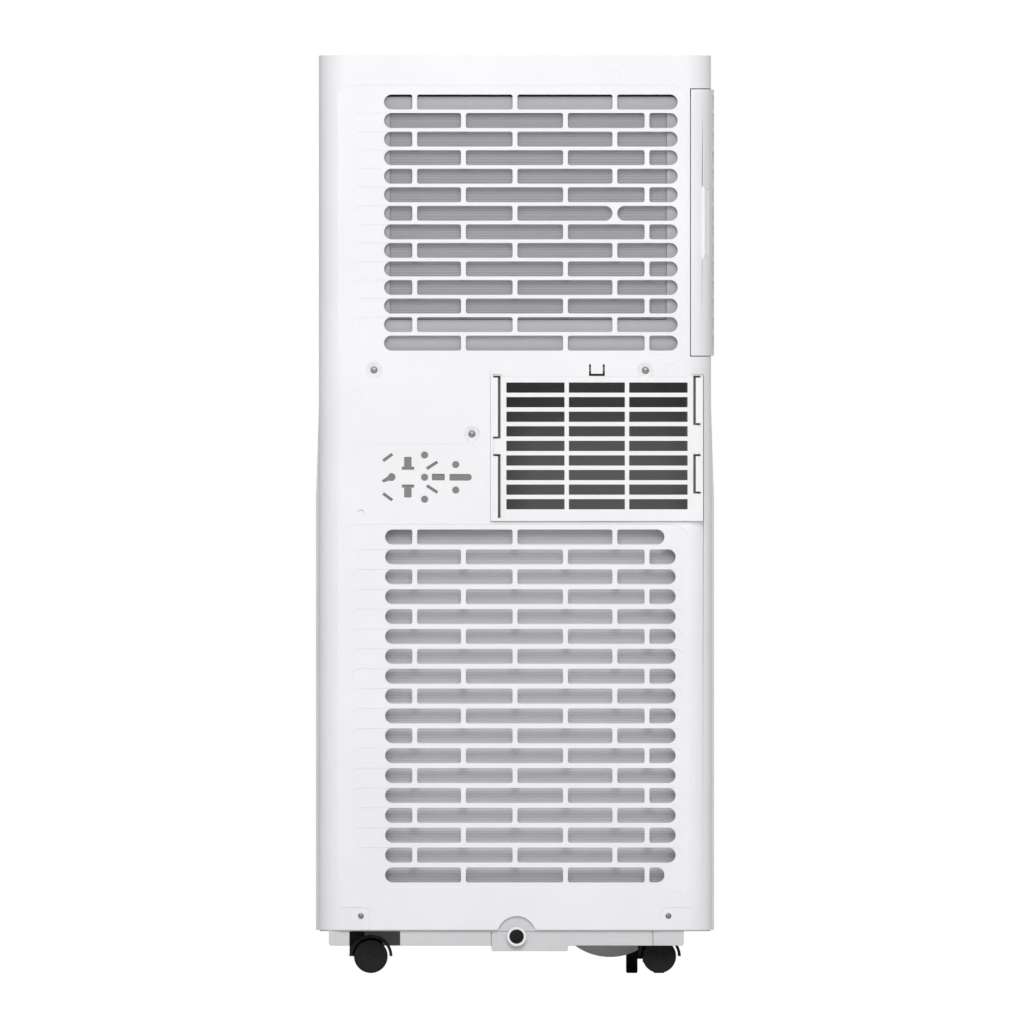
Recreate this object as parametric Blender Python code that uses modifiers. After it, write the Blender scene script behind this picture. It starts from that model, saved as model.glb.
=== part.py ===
"""A portable air conditioner: two casing shells over a rolling base pan, with the whole cooling circuit inside."""

import math

import bmesh
import bpy
from mathutils import Matrix, Vector

# Overall sizes, in metres.
WIDTH = 0.295
DEPTH = 0.300
HEIGHT = 0.680

# Casing shells.
WALL = 0.0025
GAP = 0.0003
FLARE = 0.00225
FLARE_FULL = 0.350
FLARE_START = 0.421
REAR_CORNER = 0.019
FRONT_CORNER = 0.030
REAR_SHELL_DEPTH = 0.1265
SHELL_LIFT = 0.001
COVER_THICKNESS = 0.003
COVER_DROP = 0.0008
PANEL_STEP = 0.0006

# Floor between the cold half and the hot half.
DECK_TOP = 0.449
DECK_THICKNESS = 0.003

# Slots of the two intake grilles.
SLOT_HEIGHT = 0.011
UPPER_PITCH = 0.01374
LOWER_PITCH = 0.01473
UPPER_FIRST = 0.0346
UPPER_LAST = 0.0178
LOWER_FIRST = 0.0119
LOWER_LAST = 0.0406
SLOT_LEFT_MARGIN = 0.0247
SLOT_RIGHT_MARGIN = 0.0485
RIB = 0.0035
ODD_RIBS = (-0.074, 0.0, 0.0743)
EVEN_RIBS = (-0.0978, -0.0374, 0.0382)

# Exhaust port, with the rails its hose adapter slides down.
EXHAUST_WIDTH = 0.1571
EXHAUST_HEIGHT = 0.1082
EXHAUST_SIDE = 0.00595
EXHAUST_PROUD = 0.0035
EXHAUST_WALL = 0.0025
EXHAUST_RECESS = 0.0105
GUARD_ROWS = 9
GUARD_PITCH = 0.01075
GUARD_SLOT = 0.0074
GUARD_RIB = 0.0037
GUARD_THICKNESS = 0.002
RAIL_LIP = 0.004
RAIL_LIP_THICKNESS = 0.0015
RAIL_NOTCH = 0.012

# Filter drawer.
DOOR_REACH = 0.0155
DOOR_DEPTH = 0.111
DOOR_TOP = 0.0245
DOOR_BOTTOM = 0.0078
DOOR_GAP = 0.0006
FILTER_THICKNESS = 0.005
FILTER_BAR = 0.012
FILTER_FOOT = 0.0255
SIDE_SLOT_HEIGHT = 0.0098

# Coils and the trays below them.
COIL_THICKNESS = 0.026
COIL_END_SPACE = 0.038
COIL_SIDE_SPACE = 0.022
TUBE_RADIUS = 0.0035
BEND_RADIUS = 0.0085

# Fans.
EVAPORATOR_FAN_RADIUS = 0.060
CONDENSER_FAN_RADIUS = 0.078
FAN_WIDTH = 0.036
FAN_BLADES = 14
SHAFT_RADIUS = 0.004
SCROLL_WALL = 0.0016
SCROLL_DEPTH = 0.050
MOTOR_LENGTH = 0.040

# Air outlet and its vanes.
OUTLET_HALF_WIDTH = 0.104
OUTLET_DROP = 0.026
OUTLET_WALL = 0.002
OUTLET_DEPTH = 0.052
DUCT_HEIGHT = 0.028
VANE_COUNT = 4
VANE_PITCH = 0.018
VANE_CHORD = 0.022
VANE_THICKNESS = 0.002
VANE_PIN = 0.0015
CRANK_REACH = 0.009

# Control panel.
PANEL_HALF_WIDTH = 0.070
PANEL_DEPTH = 0.050
PANEL_FRONT_MARGIN = 0.014
BUTTON_RADIUS = 0.0055
BUTTON_PITCH = 0.024
BUTTON_COUNT = 5

# Carrying grips.
GRIP_BOTTOM = 0.273
GRIP_TOP = 0.342
GRIP_LENGTH = 0.085
GRIP_DEPTH = 0.022

# Base pan and casters.
PAN_THICKNESS = 0.003
PAN_RIM = 0.013
SKIRT_DROP = 0.0107
SKIRT_WALL = 0.0025
VALANCE_LEFT = 0.0097
VALANCE_RIGHT = 0.0225
WHEEL_RADIUS = 0.0125
WHEEL_INNER = 0.0058
WHEEL_OUTER = 0.01435
AXLE_RADIUS = 0.002
HOOD_WALL = 0.0022
HOOD_GAP = 0.0013
TRAIL = 0.0103
STEM_RADIUS = 0.0055
PIVOT_RADIUS = 0.004
CASTER_LEFT = 0.0304
CASTER_RIGHT = 0.0509
CASTER_HEAD = 0.0025
CASTER_ROOM = 0.00014
DRAIN_X = -0.0012
DRAIN_DROP = 0.004
DRAIN_RADIUS = 0.0072
DRAIN_BORE = 0.0053
DRAIN_ARCH = 0.0144

# Everything below follows from the sizes above.
PAN_FLOOR = 2 * WHEEL_RADIUS + HOOD_GAP + HOOD_WALL + CASTER_HEAD
PAN_TOP = PAN_FLOOR + PAN_RIM
SHELL_BOTTOM = PAN_FLOOR + SHELL_LIFT
SKIRT_BOTTOM = PAN_FLOOR - SKIRT_DROP
DRAIN_Z = PAN_FLOOR - DRAIN_DROP
REAR = DEPTH / 2 - EXHAUST_PROUD
REAR_INNER = REAR - WALL
FRONT = -DEPTH / 2
FRONT_INNER = FRONT + WALL
SPLIT = REAR - REAR_SHELL_DEPTH
HALF = WIDTH / 2 - FLARE
INNER = HALF - WALL
LOW_INNER = WIDTH / 2 - WALL
EXHAUST_LEFT = -HALF + EXHAUST_SIDE
EXHAUST_RIGHT = EXHAUST_LEFT + EXHAUST_WIDTH
EXHAUST_TOP = DECK_TOP - DECK_THICKNESS - 0.0029
EXHAUST_BOTTOM = EXHAUST_TOP - EXHAUST_HEIGHT
SPAN_LOW = -HALF + SLOT_LEFT_MARGIN
SPAN_HIGH = HALF - SLOT_RIGHT_MARGIN
DOOR_EDGE = -HALF + DOOR_REACH
DOOR_LOW = DECK_TOP + DOOR_BOTTOM
DOOR_HIGH = HEIGHT - DOOR_TOP
DOOR_FRONT = REAR - DOOR_DEPTH
COIL_LOW_X = -INNER + COIL_SIDE_SPACE
COIL_HIGH_X = INNER - COIL_END_SPACE
COIL_BACK = REAR_INNER - 0.012
COIL_FRONT = COIL_BACK - COIL_THICKNESS
SCROLL_BACK = COIL_FRONT - 0.006
SCROLL_FRONT = SCROLL_BACK - SCROLL_DEPTH
COVER_BOTTOM = HEIGHT - COVER_DROP - COVER_THICKNESS
DECK_BOTTOM = DECK_TOP - DECK_THICKNESS
OUTLET_HIGH = HEIGHT - OUTLET_DROP
OUTLET_LOW = OUTLET_HIGH - VANE_COUNT * VANE_PITCH - 0.004
DUCT_LOW = OUTLET_HIGH - DUCT_HEIGHT
VANE_Y = FRONT + 0.018
SUCTION_X = COIL_HIGH_X + 0.0173
SUCTION_Y = COIL_FRONT + 0.004
CAPILLARY_X = COIL_HIGH_X + 0.0273
CAPILLARY_Y = COIL_FRONT - 0.006
FILTER_PIVOT = (-HALF, REAR - REAR_CORNER, (DOOR_LOW + DOOR_HIGH) / 2)
HOOD_RADIUS = WHEEL_RADIUS + HOOD_GAP + HOOD_WALL
CASTER_SWEEP = math.hypot(TRAIL + HOOD_RADIUS, WHEEL_OUTER) + GAP
SKIRT_BACK = REAR_INNER - 0.0013
CASTER_INSET = DEPTH / 2 - SKIRT_BACK + SKIRT_WALL + CASTER_SWEEP + CASTER_ROOM

WHITE = (0.86, 0.86, 0.87)
PALE = (0.72, 0.72, 0.74)
GREY = (0.42, 0.43, 0.45)
BLACK = (0.03, 0.03, 0.03)
STEEL = (0.62, 0.63, 0.65)
COPPER = (0.72, 0.38, 0.22)
GREEN = (0.05, 0.22, 0.10)


# Outlines: lists of (u, v) points.
def arc(centre, radius, start, end, steps):
    points = []
    for step in range(steps + 1):
        angle = math.radians(start + (end - start) * step / steps)
        points.append((centre[0] + radius * math.cos(angle), centre[1] + radius * math.sin(angle)))
    return points


def rectangle(low_u, high_u, low_v, high_v):
    return [(low_u, low_v), (high_u, low_v), (high_u, high_v), (low_u, high_v)]


def rounded(low_u, high_u, low_v, high_v, radius, steps=3):
    outline = arc((high_u - radius, low_v + radius), radius, -90, 0, steps)
    outline += arc((high_u - radius, high_v - radius), radius, 0, 90, steps)
    outline += arc((low_u + radius, high_v - radius), radius, 90, 180, steps)
    outline += arc((low_u + radius, low_v + radius), radius, 180, 270, steps)
    return outline


def slot(low_u, high_u, centre_v, height, round_low, round_high):
    """A slot whose ends are full rounds or square."""
    radius = height / 2
    if round_high:
        outline = arc((high_u - radius, centre_v), radius, -90, 90, 4)
    else:
        outline = [(high_u, centre_v - radius), (high_u, centre_v + radius)]
    if round_low:
        outline += arc((low_u + radius, centre_v), radius, 90, 270, 4)
    else:
        outline += [(low_u, centre_v + radius), (low_u, centre_v - radius)]
    return outline


def turned_outline(outline, centre, degrees):
    angle = math.radians(degrees)
    points = []
    for u, v in outline:
        points.append((
            centre[0] + u * math.cos(angle) - v * math.sin(angle),
            centre[1] + u * math.sin(angle) + v * math.cos(angle),
        ))
    return points


# Solids, each a bmesh.
AXES = {
    "X": Matrix(((0, 0, 1), (1, 0, 0), (0, 1, 0))),
    "Y": Matrix(((1, 0, 0), (0, 0, 1), (0, 1, 0))),
    "Z": Matrix.Identity(3),
}


def placed(u, v, w, axis):
    return AXES[axis] @ Vector((u, v, w))


def prism(outline, low, high, axis="Z"):
    """A flat outline extruded along an axis."""
    work = bmesh.new()
    face = work.faces.new([work.verts.new(placed(u, v, low, axis)) for u, v in outline])
    made = bmesh.ops.extrude_face_region(work, geom=[face])["geom"]
    corners = [item for item in made if isinstance(item, bmesh.types.BMVert)]
    bmesh.ops.translate(work, vec=placed(0, 0, high - low, axis), verts=corners)
    return work


def box(low, high):
    work = bmesh.new()
    bmesh.ops.create_cube(work, size=1.0)
    size = Vector(high) - Vector(low)
    bmesh.ops.scale(work, vec=size, verts=work.verts)
    bmesh.ops.translate(work, vec=Vector(low) + size / 2, verts=work.verts)
    return work


def cylinder(centre, axis, radius, low, high, steps=16):
    work = bmesh.new()
    bmesh.ops.create_cone(
        work, cap_ends=True, segments=steps, radius1=radius, radius2=radius, depth=high - low,
        matrix=Matrix.Translation((0, 0, (low + high) / 2)),
    )
    bmesh.ops.transform(work, matrix=Matrix.Translation(centre) @ AXES[axis].to_4x4(), verts=work.verts)
    return work


def evaluated(made):
    """The closed mesh that an object's modifiers or bevel give, as a bmesh; the object is removed."""
    bpy.context.scene.collection.objects.link(made)
    bpy.context.view_layer.update()
    mesh = bpy.data.meshes.new_from_object(made.evaluated_get(bpy.context.evaluated_depsgraph_get()))
    bpy.data.objects.remove(made)
    work = bmesh.new()
    work.from_mesh(mesh)
    bpy.data.meshes.remove(mesh)
    bmesh.ops.remove_doubles(work, verts=work.verts, dist=0.00001)
    return work


def turned(profile, centre, axis, steps=16):
    """A profile of (radius, along) points on a Screw modifier; a radius of 0 closes an end."""
    mesh = bpy.data.meshes.new("profile")
    work = bmesh.new()
    corners = [work.verts.new((radius, 0, along)) for radius, along in profile]
    for pair in zip(corners, corners[1:]):
        work.edges.new(pair)
    if profile[0][0] != 0:
        work.edges.new((corners[-1], corners[0]))
    work.to_mesh(mesh)
    work.free()
    made = bpy.data.objects.new("profile", mesh)
    turn = made.modifiers.new("turn", "SCREW")
    turn.steps = steps
    turn.render_steps = steps
    turn.use_merge_vertices = True
    turn.merge_threshold = 0.00001
    work = evaluated(made)
    bmesh.ops.transform(work, matrix=Matrix.Translation(centre) @ AXES[axis].to_4x4(), verts=work.verts)
    return work


def pipe(route, radius, resolution=1):
    """A round bar: a curve with a bevel and filled caps."""
    curve = bpy.data.curves.new("route", "CURVE")
    curve.dimensions = "3D"
    curve.bevel_depth = radius
    curve.bevel_resolution = resolution
    curve.use_fill_caps = True
    line = curve.splines.new("POLY")
    line.points.add(len(route) - 1)
    for point, place in zip(line.points, route):
        point.co = (*place, 1.0)
    return evaluated(bpy.data.objects.new("route", curve))


def spun(work, x, y, degrees):
    """Turns a solid about an upright axis."""
    turn = Matrix.Rotation(math.radians(degrees), 3, "Z")
    bmesh.ops.rotate(work, cent=(x, y, 0), matrix=turn, verts=work.verts)
    return work


# Objects.
def collection(name):
    made = bpy.data.collections.new(name)
    bpy.context.scene.collection.children.link(made)
    return made


for leftover in list(bpy.data.objects):
    bpy.data.objects.remove(leftover, do_unlink=True)
PARTS = collection("portable_air_conditioner")
CUTTERS = collection("cutters")


def mesh_object(name, solids, group):
    total = bmesh.new()
    for work in solids:
        bmesh.ops.recalc_face_normals(work, faces=work.faces)
        holder = bpy.data.meshes.new(name)
        work.to_mesh(holder)
        work.free()
        total.from_mesh(holder)
        bpy.data.meshes.remove(holder)
    mesh = bpy.data.meshes.new(name)
    total.to_mesh(mesh)
    total.free()
    made = bpy.data.objects.new(name, mesh)
    group.objects.link(made)
    return made


def plastic(name, colour, metal):
    material = bpy.data.materials.new(name)
    material.use_nodes = True
    surface = material.node_tree.nodes["Principled BSDF"]
    surface.inputs["Base Color"].default_value = (*colour, 1.0)
    surface.inputs["Metallic"].default_value = 1.0 if metal else 0.0
    surface.inputs["Roughness"].default_value = 0.35 if metal else 0.5
    return material


def part(name, colour, solid, steps=(), pivot=None, metal=False, smooth=False):
    """One piece: a solid, then the solids that are joined to it or cut from it in turn."""
    made = mesh_object(name, [solid], PARTS)
    made.data.materials.append(plastic(name, colour, metal))
    if smooth:
        made.data.shade_smooth()
        made.data.set_sharp_from_angle(angle=math.radians(35))
    for number, (operation, solids) in enumerate(steps):
        tool = mesh_object(f"{name}_tool_{number}", solids, CUTTERS)
        tool.hide_render = True
        tool.display_type = "WIRE"
        change = made.modifiers.new(f"step_{number}", "BOOLEAN")
        change.operation = operation
        change.solver = "EXACT"
        change.use_self = operation == "UNION" and len(solids) > 1
        change.object = tool
    if pivot:
        made.data.transform(Matrix.Translation(-Vector(pivot)))
        made.location = pivot
    return made


# Casing.
def rear_path(inset):
    radius = REAR_CORNER - inset
    left = arc((-HALF + REAR_CORNER, REAR - REAR_CORNER), radius, 180, 90, 5)
    right = arc((HALF - REAR_CORNER, REAR - REAR_CORNER), radius, 90, 0, 5)
    return [(-HALF + inset, SPLIT)] + left + right + [(HALF - inset, SPLIT)]


def front_path(half, inset):
    radius = FRONT_CORNER - inset
    edge = SPLIT - GAP
    left = arc((-half + FRONT_CORNER, FRONT + FRONT_CORNER), radius, 180, 270, 5)
    right = arc((half - FRONT_CORNER, FRONT + FRONT_CORNER), radius, 270, 360, 5)
    return [(-half + inset, edge)] + left + right + [(half - inset, edge)]


def inside_outline(gap, front_half):
    """The closed outline that fits inside both shells."""
    inset = WALL + gap
    step = SPLIT - 2 * GAP
    outline = arc((-front_half + FRONT_CORNER, FRONT + FRONT_CORNER), FRONT_CORNER - inset, 180, 270, 5)
    outline += arc((front_half - FRONT_CORNER, FRONT + FRONT_CORNER), FRONT_CORNER - inset, 270, 360, 5)
    if front_half > HALF:
        outline += [(front_half - inset, step), (HALF - inset, step)]
    outline += arc((HALF - REAR_CORNER, REAR - REAR_CORNER), REAR_CORNER - inset, 0, 90, 5)
    outline += arc((-HALF + REAR_CORNER, REAR - REAR_CORNER), REAR_CORNER - inset, 90, 180, 5)
    if front_half > HALF:
        outline += [(-HALF + inset, step), (-front_half + inset, step)]
    return outline


def row_heights(top, bottom, pitch):
    count = int((top - bottom) / pitch + 0.01) + 1
    return [top - row * pitch for row in range(count)]


UPPER_ROWS = row_heights(HEIGHT - UPPER_FIRST, DECK_TOP + UPPER_LAST, UPPER_PITCH)
LOWER_ROWS = row_heights(EXHAUST_BOTTOM - LOWER_FIRST, SHELL_BOTTOM + LOWER_LAST, LOWER_PITCH)


def slot_row(centre, low, high, ribs, back, front):
    """The openings of one row, round at its two ends and square at its ribs."""
    inner = [rib for rib in ribs if low + 0.01 < rib < high - 0.01]
    edges = [low]
    for rib in inner:
        edges += [rib - RIB / 2, rib + RIB / 2]
    edges.append(high)
    solids = []
    for index in range(0, len(edges), 2):
        last = len(edges) - 2
        outline = slot(edges[index], edges[index + 1], centre, SLOT_HEIGHT, index == 0, index == last)
        solids.append(prism(outline, back, front, "Y"))
    return solids


def grille(rows, short_rows):
    solids = []
    for number, centre in enumerate(rows):
        ribs = EVEN_RIBS if number % 2 else ODD_RIBS
        low = SPAN_LOW + (0.009 if number in short_rows else 0.0)
        solids += slot_row(centre, low, SPAN_HIGH, ribs, REAR_INNER - 0.001, REAR + 0.001)
    return solids


SCREW_WELLS = (
    ("screw_upper_1", HALF - 0.04075, DECK_TOP - 0.0022),
    ("screw_upper_2", -HALF + 0.04855, DECK_TOP - 0.0025),
    ("screw_exhaust", EXHAUST_RIGHT + 0.0141, EXHAUST_BOTTOM + 0.0645),
)
FOOT_SCREWS = (
    ("screw_foot_1", HALF - 0.0311, SHELL_BOTTOM + 0.0102),
    ("screw_foot_2", -HALF + 0.0315, SHELL_BOTTOM + 0.0102),
)


def screw_well(x, z):
    profile = [(0, REAR_INNER - 0.001), (0.0025, REAR_INNER - 0.001), (0.0025, REAR - 0.002)]
    profile += [(0.0059, REAR), (0.0059, REAR + 0.001), (0, REAR + 0.001)]
    return turned(profile, (x, 0, z), "Y", 16)


def parking_pockets():
    """Blind pockets that hold the pins of a mains plug when the unit is put away."""
    x = EXHAUST_RIGHT + 0.0502
    z = EXHAUST_BOTTOM + 0.0332
    solids = []
    for side in (1, -1):
        for u, degrees in ((0.0263, -36), (-0.0066, -33)):
            outline = turned_outline(
                rectangle(-0.0044, 0.0044, -0.0011, 0.0011), (x + u, z + side * 0.0116), side * degrees
            )
            solids.append(prism(outline, REAR - 0.0018, REAR + 0.001, "Y"))
        solids.append(prism(rectangle(x + 0.0067, x + 0.0159, z + side * 0.0065 - 0.0011, z + side * 0.0065 + 0.0011),
                            REAR - 0.0018, REAR + 0.001, "Y"))
    rounds = [(-0.001, 0.0163), (-0.001, 0.0), (-0.001, -0.0163), (-0.0241, 0.0094), (-0.0241, -0.0094), (0.0235, 0.0)]
    for u, v in rounds:
        solids.append(cylinder((x + u, 0, z + v), "Y", 0.0027, REAR - 0.0018, REAR + 0.001, 10))
    solids.append(prism(rectangle(x - 0.0159, x - 0.0064, z - 0.0024, z + 0.0024), REAR - 0.0018, REAR + 0.001, "Y"))
    solids.append(prism(slot(x - 0.0359, x - 0.0195, z, 0.0048, True, False), REAR - 0.0018, REAR + 0.001, "Y"))
    return solids


def make_rear_shell():
    wall = prism(rear_path(0) + rear_path(WALL)[::-1], SHELL_BOTTOM, HEIGHT)
    shallow = [
        prism(rounded(SPAN_LOW - 0.007, HALF - 0.01325, UPPER_ROWS[-1] - 0.0111, UPPER_ROWS[0] + 0.0126, 0.012),
              REAR - PANEL_STEP, REAR + 0.001, "Y"),
        prism(rounded(SPAN_LOW - 0.0098, HALF - 0.01325, LOWER_ROWS[-1] - 0.0092, LOWER_ROWS[0] + 0.0095, 0.015),
              REAR - PANEL_STEP, REAR + 0.001, "Y"),
        prism(rounded(EXHAUST_RIGHT + 0.009, EXHAUST_RIGHT + 0.0914, EXHAUST_BOTTOM + 0.0089,
                      EXHAUST_BOTTOM + 0.0574, 0.009), REAR - 0.0004, REAR + 0.001, "Y"),
    ]
    exhaust = prism(
        rectangle(EXHAUST_LEFT - GAP, EXHAUST_RIGHT + GAP, EXHAUST_BOTTOM - GAP, EXHAUST_TOP + GAP),
        REAR - EXHAUST_RECESS - 0.002, REAR + 0.01, "Y",
    )
    door = box((-WIDTH, DOOR_FRONT, DOOR_LOW), (DOOR_EDGE, DEPTH, DOOR_HIGH))
    arch = cylinder((DRAIN_X, 0, SHELL_BOTTOM - 0.0042), "Y", DRAIN_ARCH, REAR_INNER - 0.001, REAR + 0.001, 32)
    holes = grille(UPPER_ROWS, ()) + grille(LOWER_ROWS, (0, len(LOWER_ROWS) - 1))
    wells = [screw_well(x, z) for _, x, z in SCREW_WELLS]
    for _, x, z in FOOT_SCREWS:
        holes.append(cylinder((x, 0, z), "Y", 0.0021, REAR_INNER - 0.001, REAR + 0.001, 10))
    holes += parking_pockets() + [exhaust, door, arch]
    part("rear_shell", WHITE, wall, [("DIFFERENCE", shallow), ("DIFFERENCE", wells), ("DIFFERENCE", holes)])
    for name, x, z in SCREW_WELLS:
        profile = [(0, REAR_INNER - 0.010), (0.0013, REAR_INNER - 0.010), (0.0013, REAR_INNER + 0.0001)]
        profile += [(0.0022, REAR_INNER + 0.0001), (0.0022, REAR_INNER + 0.0012), (0, REAR_INNER + 0.0014)]
        part(name, STEEL, turned(profile, (x, 0, z), "Y", 10), metal=True)
    for name, x, z in FOOT_SCREWS:
        profile = [(0, REAR_INNER - 0.008), (0.0011, REAR_INNER - 0.008), (0.0011, REAR_INNER + 0.0004)]
        profile += [(0.0018, REAR_INNER + 0.0004), (0.0018, REAR_INNER + 0.0016), (0, REAR_INNER + 0.0018)]
        part(name, STEEL, turned(profile, (x, 0, z), "Y", 10), metal=True)


def screw_bore(x, z, radius=0.0017):
    return cylinder((x, 0, z), "Y", radius, REAR_INNER - 0.012, REAR_INNER + 0.001, 10)


def make_front_shell():
    half = WIDTH / 2
    wall = prism(front_path(half, 0) + front_path(half, WALL)[::-1], SHELL_BOTTOM, HEIGHT)
    for height in (FLARE_FULL, FLARE_START):
        everything = wall.verts[:] + wall.edges[:] + wall.faces[:]
        bmesh.ops.bisect_plane(wall, geom=everything, plane_co=(0, 0, height), plane_no=(0, 0, 1))
    for corner in wall.verts:
        if corner.co.z > FLARE_START - 0.0001:
            corner.co.x -= math.copysign(FLARE, corner.co.x)
    window = prism(
        rounded(-OUTLET_HALF_WIDTH, OUTLET_HALF_WIDTH, OUTLET_LOW + 0.004, OUTLET_HIGH - 0.004, 0.006),
        FRONT - 0.01, FRONT_INNER + 0.001, "Y",
    )
    grips = [
        prism(grip_outline(0), side * (WIDTH / 2 + 0.005), side * (LOW_INNER - 0.003), "X") for side in (1, -1)
    ]
    part("front_shell", WHITE, wall, [("DIFFERENCE", [window] + grips)])


def grip_outline(margin):
    high = SPLIT - 0.030
    return rounded(high - GRIP_LENGTH - margin, high + margin, GRIP_BOTTOM - margin, GRIP_TOP + margin, 0.010 + margin)


def make_grip_cups():
    for name, side in (("grip_cup_left", -1), ("grip_cup_right", 1)):
        mouth = LOW_INNER - GAP
        cup = prism(grip_outline(0.003), side * mouth, side * (mouth - GRIP_DEPTH), "X")
        hollow = prism(grip_outline(0), side * (mouth + 0.001), side * (mouth - GRIP_DEPTH + 0.002), "X")
        part(name, WHITE, cup, [("DIFFERENCE", [hollow])])


def make_cover_and_deck():
    panel = [(-PANEL_HALF_WIDTH, PANEL_HALF_WIDTH), (FRONT + PANEL_FRONT_MARGIN, FRONT + PANEL_FRONT_MARGIN + PANEL_DEPTH)]
    opening = prism(
        rounded(panel[0][0] - GAP, panel[0][1] + GAP, panel[1][0] - GAP, panel[1][1] + GAP, 0.008 + GAP),
        COVER_BOTTOM - 0.001, HEIGHT + 0.001,
    )
    cover = prism(inside_outline(GAP, HALF), COVER_BOTTOM, COVER_BOTTOM + COVER_THICKNESS)
    part("top_cover", WHITE, cover, [("DIFFERENCE", [opening])])
    deck = prism(inside_outline(GAP, HALF), DECK_BOTTOM, DECK_TOP)
    pipes = [
        cylinder((SUCTION_X, SUCTION_Y, 0), "Z", TUBE_RADIUS + 0.001, DECK_BOTTOM - 0.001, DECK_TOP + 0.001, 12),
        cylinder((CAPILLARY_X, CAPILLARY_Y, 0), "Z", 0.0025, DECK_BOTTOM - 0.001, DECK_TOP + 0.001, 8),
    ]
    bores = [screw_bore(x, z, 0.0022) for _, x, z in SCREW_WELLS[:2]]
    part("mid_deck", PALE, deck, [("DIFFERENCE", pipes + bores)])


def make_exhaust_grille():
    back = REAR - EXHAUST_RECESS
    guard = REAR - 0.0005
    wall = EXHAUST_WALL
    body = prism(rectangle(EXHAUST_LEFT, EXHAUST_RIGHT, EXHAUST_BOTTOM, EXHAUST_TOP), back, DEPTH / 2, "Y")
    inner = (EXHAUST_LEFT + wall, EXHAUST_RIGHT - wall)
    pockets = [
        prism(rectangle(*inner, EXHAUST_BOTTOM + wall, EXHAUST_TOP + 0.01), guard, DEPTH / 2 + 0.001, "Y"),
        prism(rectangle(*inner, EXHAUST_BOTTOM + wall, EXHAUST_TOP - wall),
              back - 0.001, guard - GUARD_THICKNESS, "Y"),
    ]
    lips = []
    middle = (EXHAUST_BOTTOM + EXHAUST_TOP) / 2
    for low, high in ((EXHAUST_BOTTOM + 0.001, middle - RAIL_NOTCH / 2), (middle + RAIL_NOTCH / 2, EXHAUST_TOP - 0.001)):
        for start, end in ((inner[0] - 0.001, inner[0] + RAIL_LIP), (inner[1] - RAIL_LIP, inner[1] + 0.001)):
            lips.append(prism(rectangle(start, end, low, high), DEPTH / 2 - RAIL_LIP_THICKNESS, DEPTH / 2, "Y"))
    slots = []
    left = EXHAUST_LEFT + 0.0115
    right = EXHAUST_RIGHT - 0.0111
    width = (right - left - 2 * GUARD_RIB) / 3
    for row in range(GUARD_ROWS):
        z = EXHAUST_TOP - 0.0092 - row * GUARD_PITCH
        for column in range(3):
            x = left + column * (width + GUARD_RIB)
            outline = rectangle(x, x + width, z - GUARD_SLOT / 2, z + GUARD_SLOT / 2)
            slots.append(prism(outline, guard - 0.004, guard + 0.001, "Y"))
    steps = [("DIFFERENCE", pockets), ("UNION", lips), ("DIFFERENCE", slots)]
    part("exhaust_grille", WHITE, body, steps)


def make_filter():
    edge = DOOR_EDGE - DOOR_GAP
    paths = []
    for inset in (0, WALL):
        end = math.degrees(math.acos((edge - (-HALF + REAR_CORNER)) / (REAR_CORNER - inset)))
        bend = arc((-HALF + REAR_CORNER, REAR - REAR_CORNER), REAR_CORNER - inset, 180, end, 6)
        paths.append([(-WIDTH / 2 + inset, DOOR_FRONT + DOOR_GAP)] + bend)
    door = prism(paths[0] + paths[1][::-1], DOOR_LOW + DOOR_GAP, DOOR_HIGH - DOOR_GAP)
    reach = REAR_CORNER * math.sqrt(0.5)
    corner = (-HALF + REAR_CORNER - reach, REAR - REAR_CORNER + reach)
    ridge = turned_outline(rectangle(-0.0018, 0.0018, -0.001, 0.0012), corner, 45)
    middle = (DOOR_LOW + DOOR_HIGH) / 2
    ridge = prism(ridge, middle - 0.029, middle + 0.029)
    slots = []
    for centre in UPPER_ROWS:
        outline = slot(DOOR_FRONT + 0.0085, DOOR_FRONT + 0.0495, centre, SIDE_SLOT_HEIGHT, True, True)
        slots.append(prism(outline, -WIDTH / 2 - 0.001, -HALF + WALL + 0.001, "X"))
    part("filter_door", WHITE, door, [("UNION", [ridge]), ("DIFFERENCE", slots)], pivot=FILTER_PIVOT)
    back = COIL_BACK + 0.007
    front = back - FILTER_THICKNESS
    drop = REAR_CORNER - WALL
    rise = back - (REAR - REAR_CORNER)
    left = -HALF + REAR_CORNER - math.sqrt(drop * drop - rise * rise) + 1.7 * GAP
    low = DOOR_LOW + 0.0016
    high = DOOR_HIGH - 0.0063
    frame = prism(rectangle(left, COIL_HIGH_X, low, high), front, back, "Y")
    window = rectangle(SPAN_LOW + 0.0082, COIL_HIGH_X - FILTER_BAR, low + FILTER_FOOT, high - FILTER_BAR)
    part("filter_frame", PALE, frame, [("DIFFERENCE", [prism(window, front - 0.001, back + 0.001, "Y")])],
         pivot=FILTER_PIVOT)
    mesh = rectangle(window[0][0] + GAP, window[1][0] - GAP, window[0][1] + GAP, window[2][1] - GAP)
    part("filter_mesh", GREY, prism(mesh, front + 0.002, front + 0.003, "Y"), pivot=FILTER_PIVOT)


# Base pan, drain and casters.
STEMS = (
    ("rear_1", WIDTH / 2 - CASTER_LEFT, DEPTH / 2 - CASTER_INSET, 0),
    ("rear_2", -WIDTH / 2 + CASTER_RIGHT, DEPTH / 2 - CASTER_INSET, 0),
    ("front_1", WIDTH / 2 - CASTER_LEFT, -DEPTH / 2 + CASTER_INSET, 0),
    ("front_2", -WIDTH / 2 + CASTER_RIGHT, -DEPTH / 2 + CASTER_INSET, -90),
)


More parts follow.
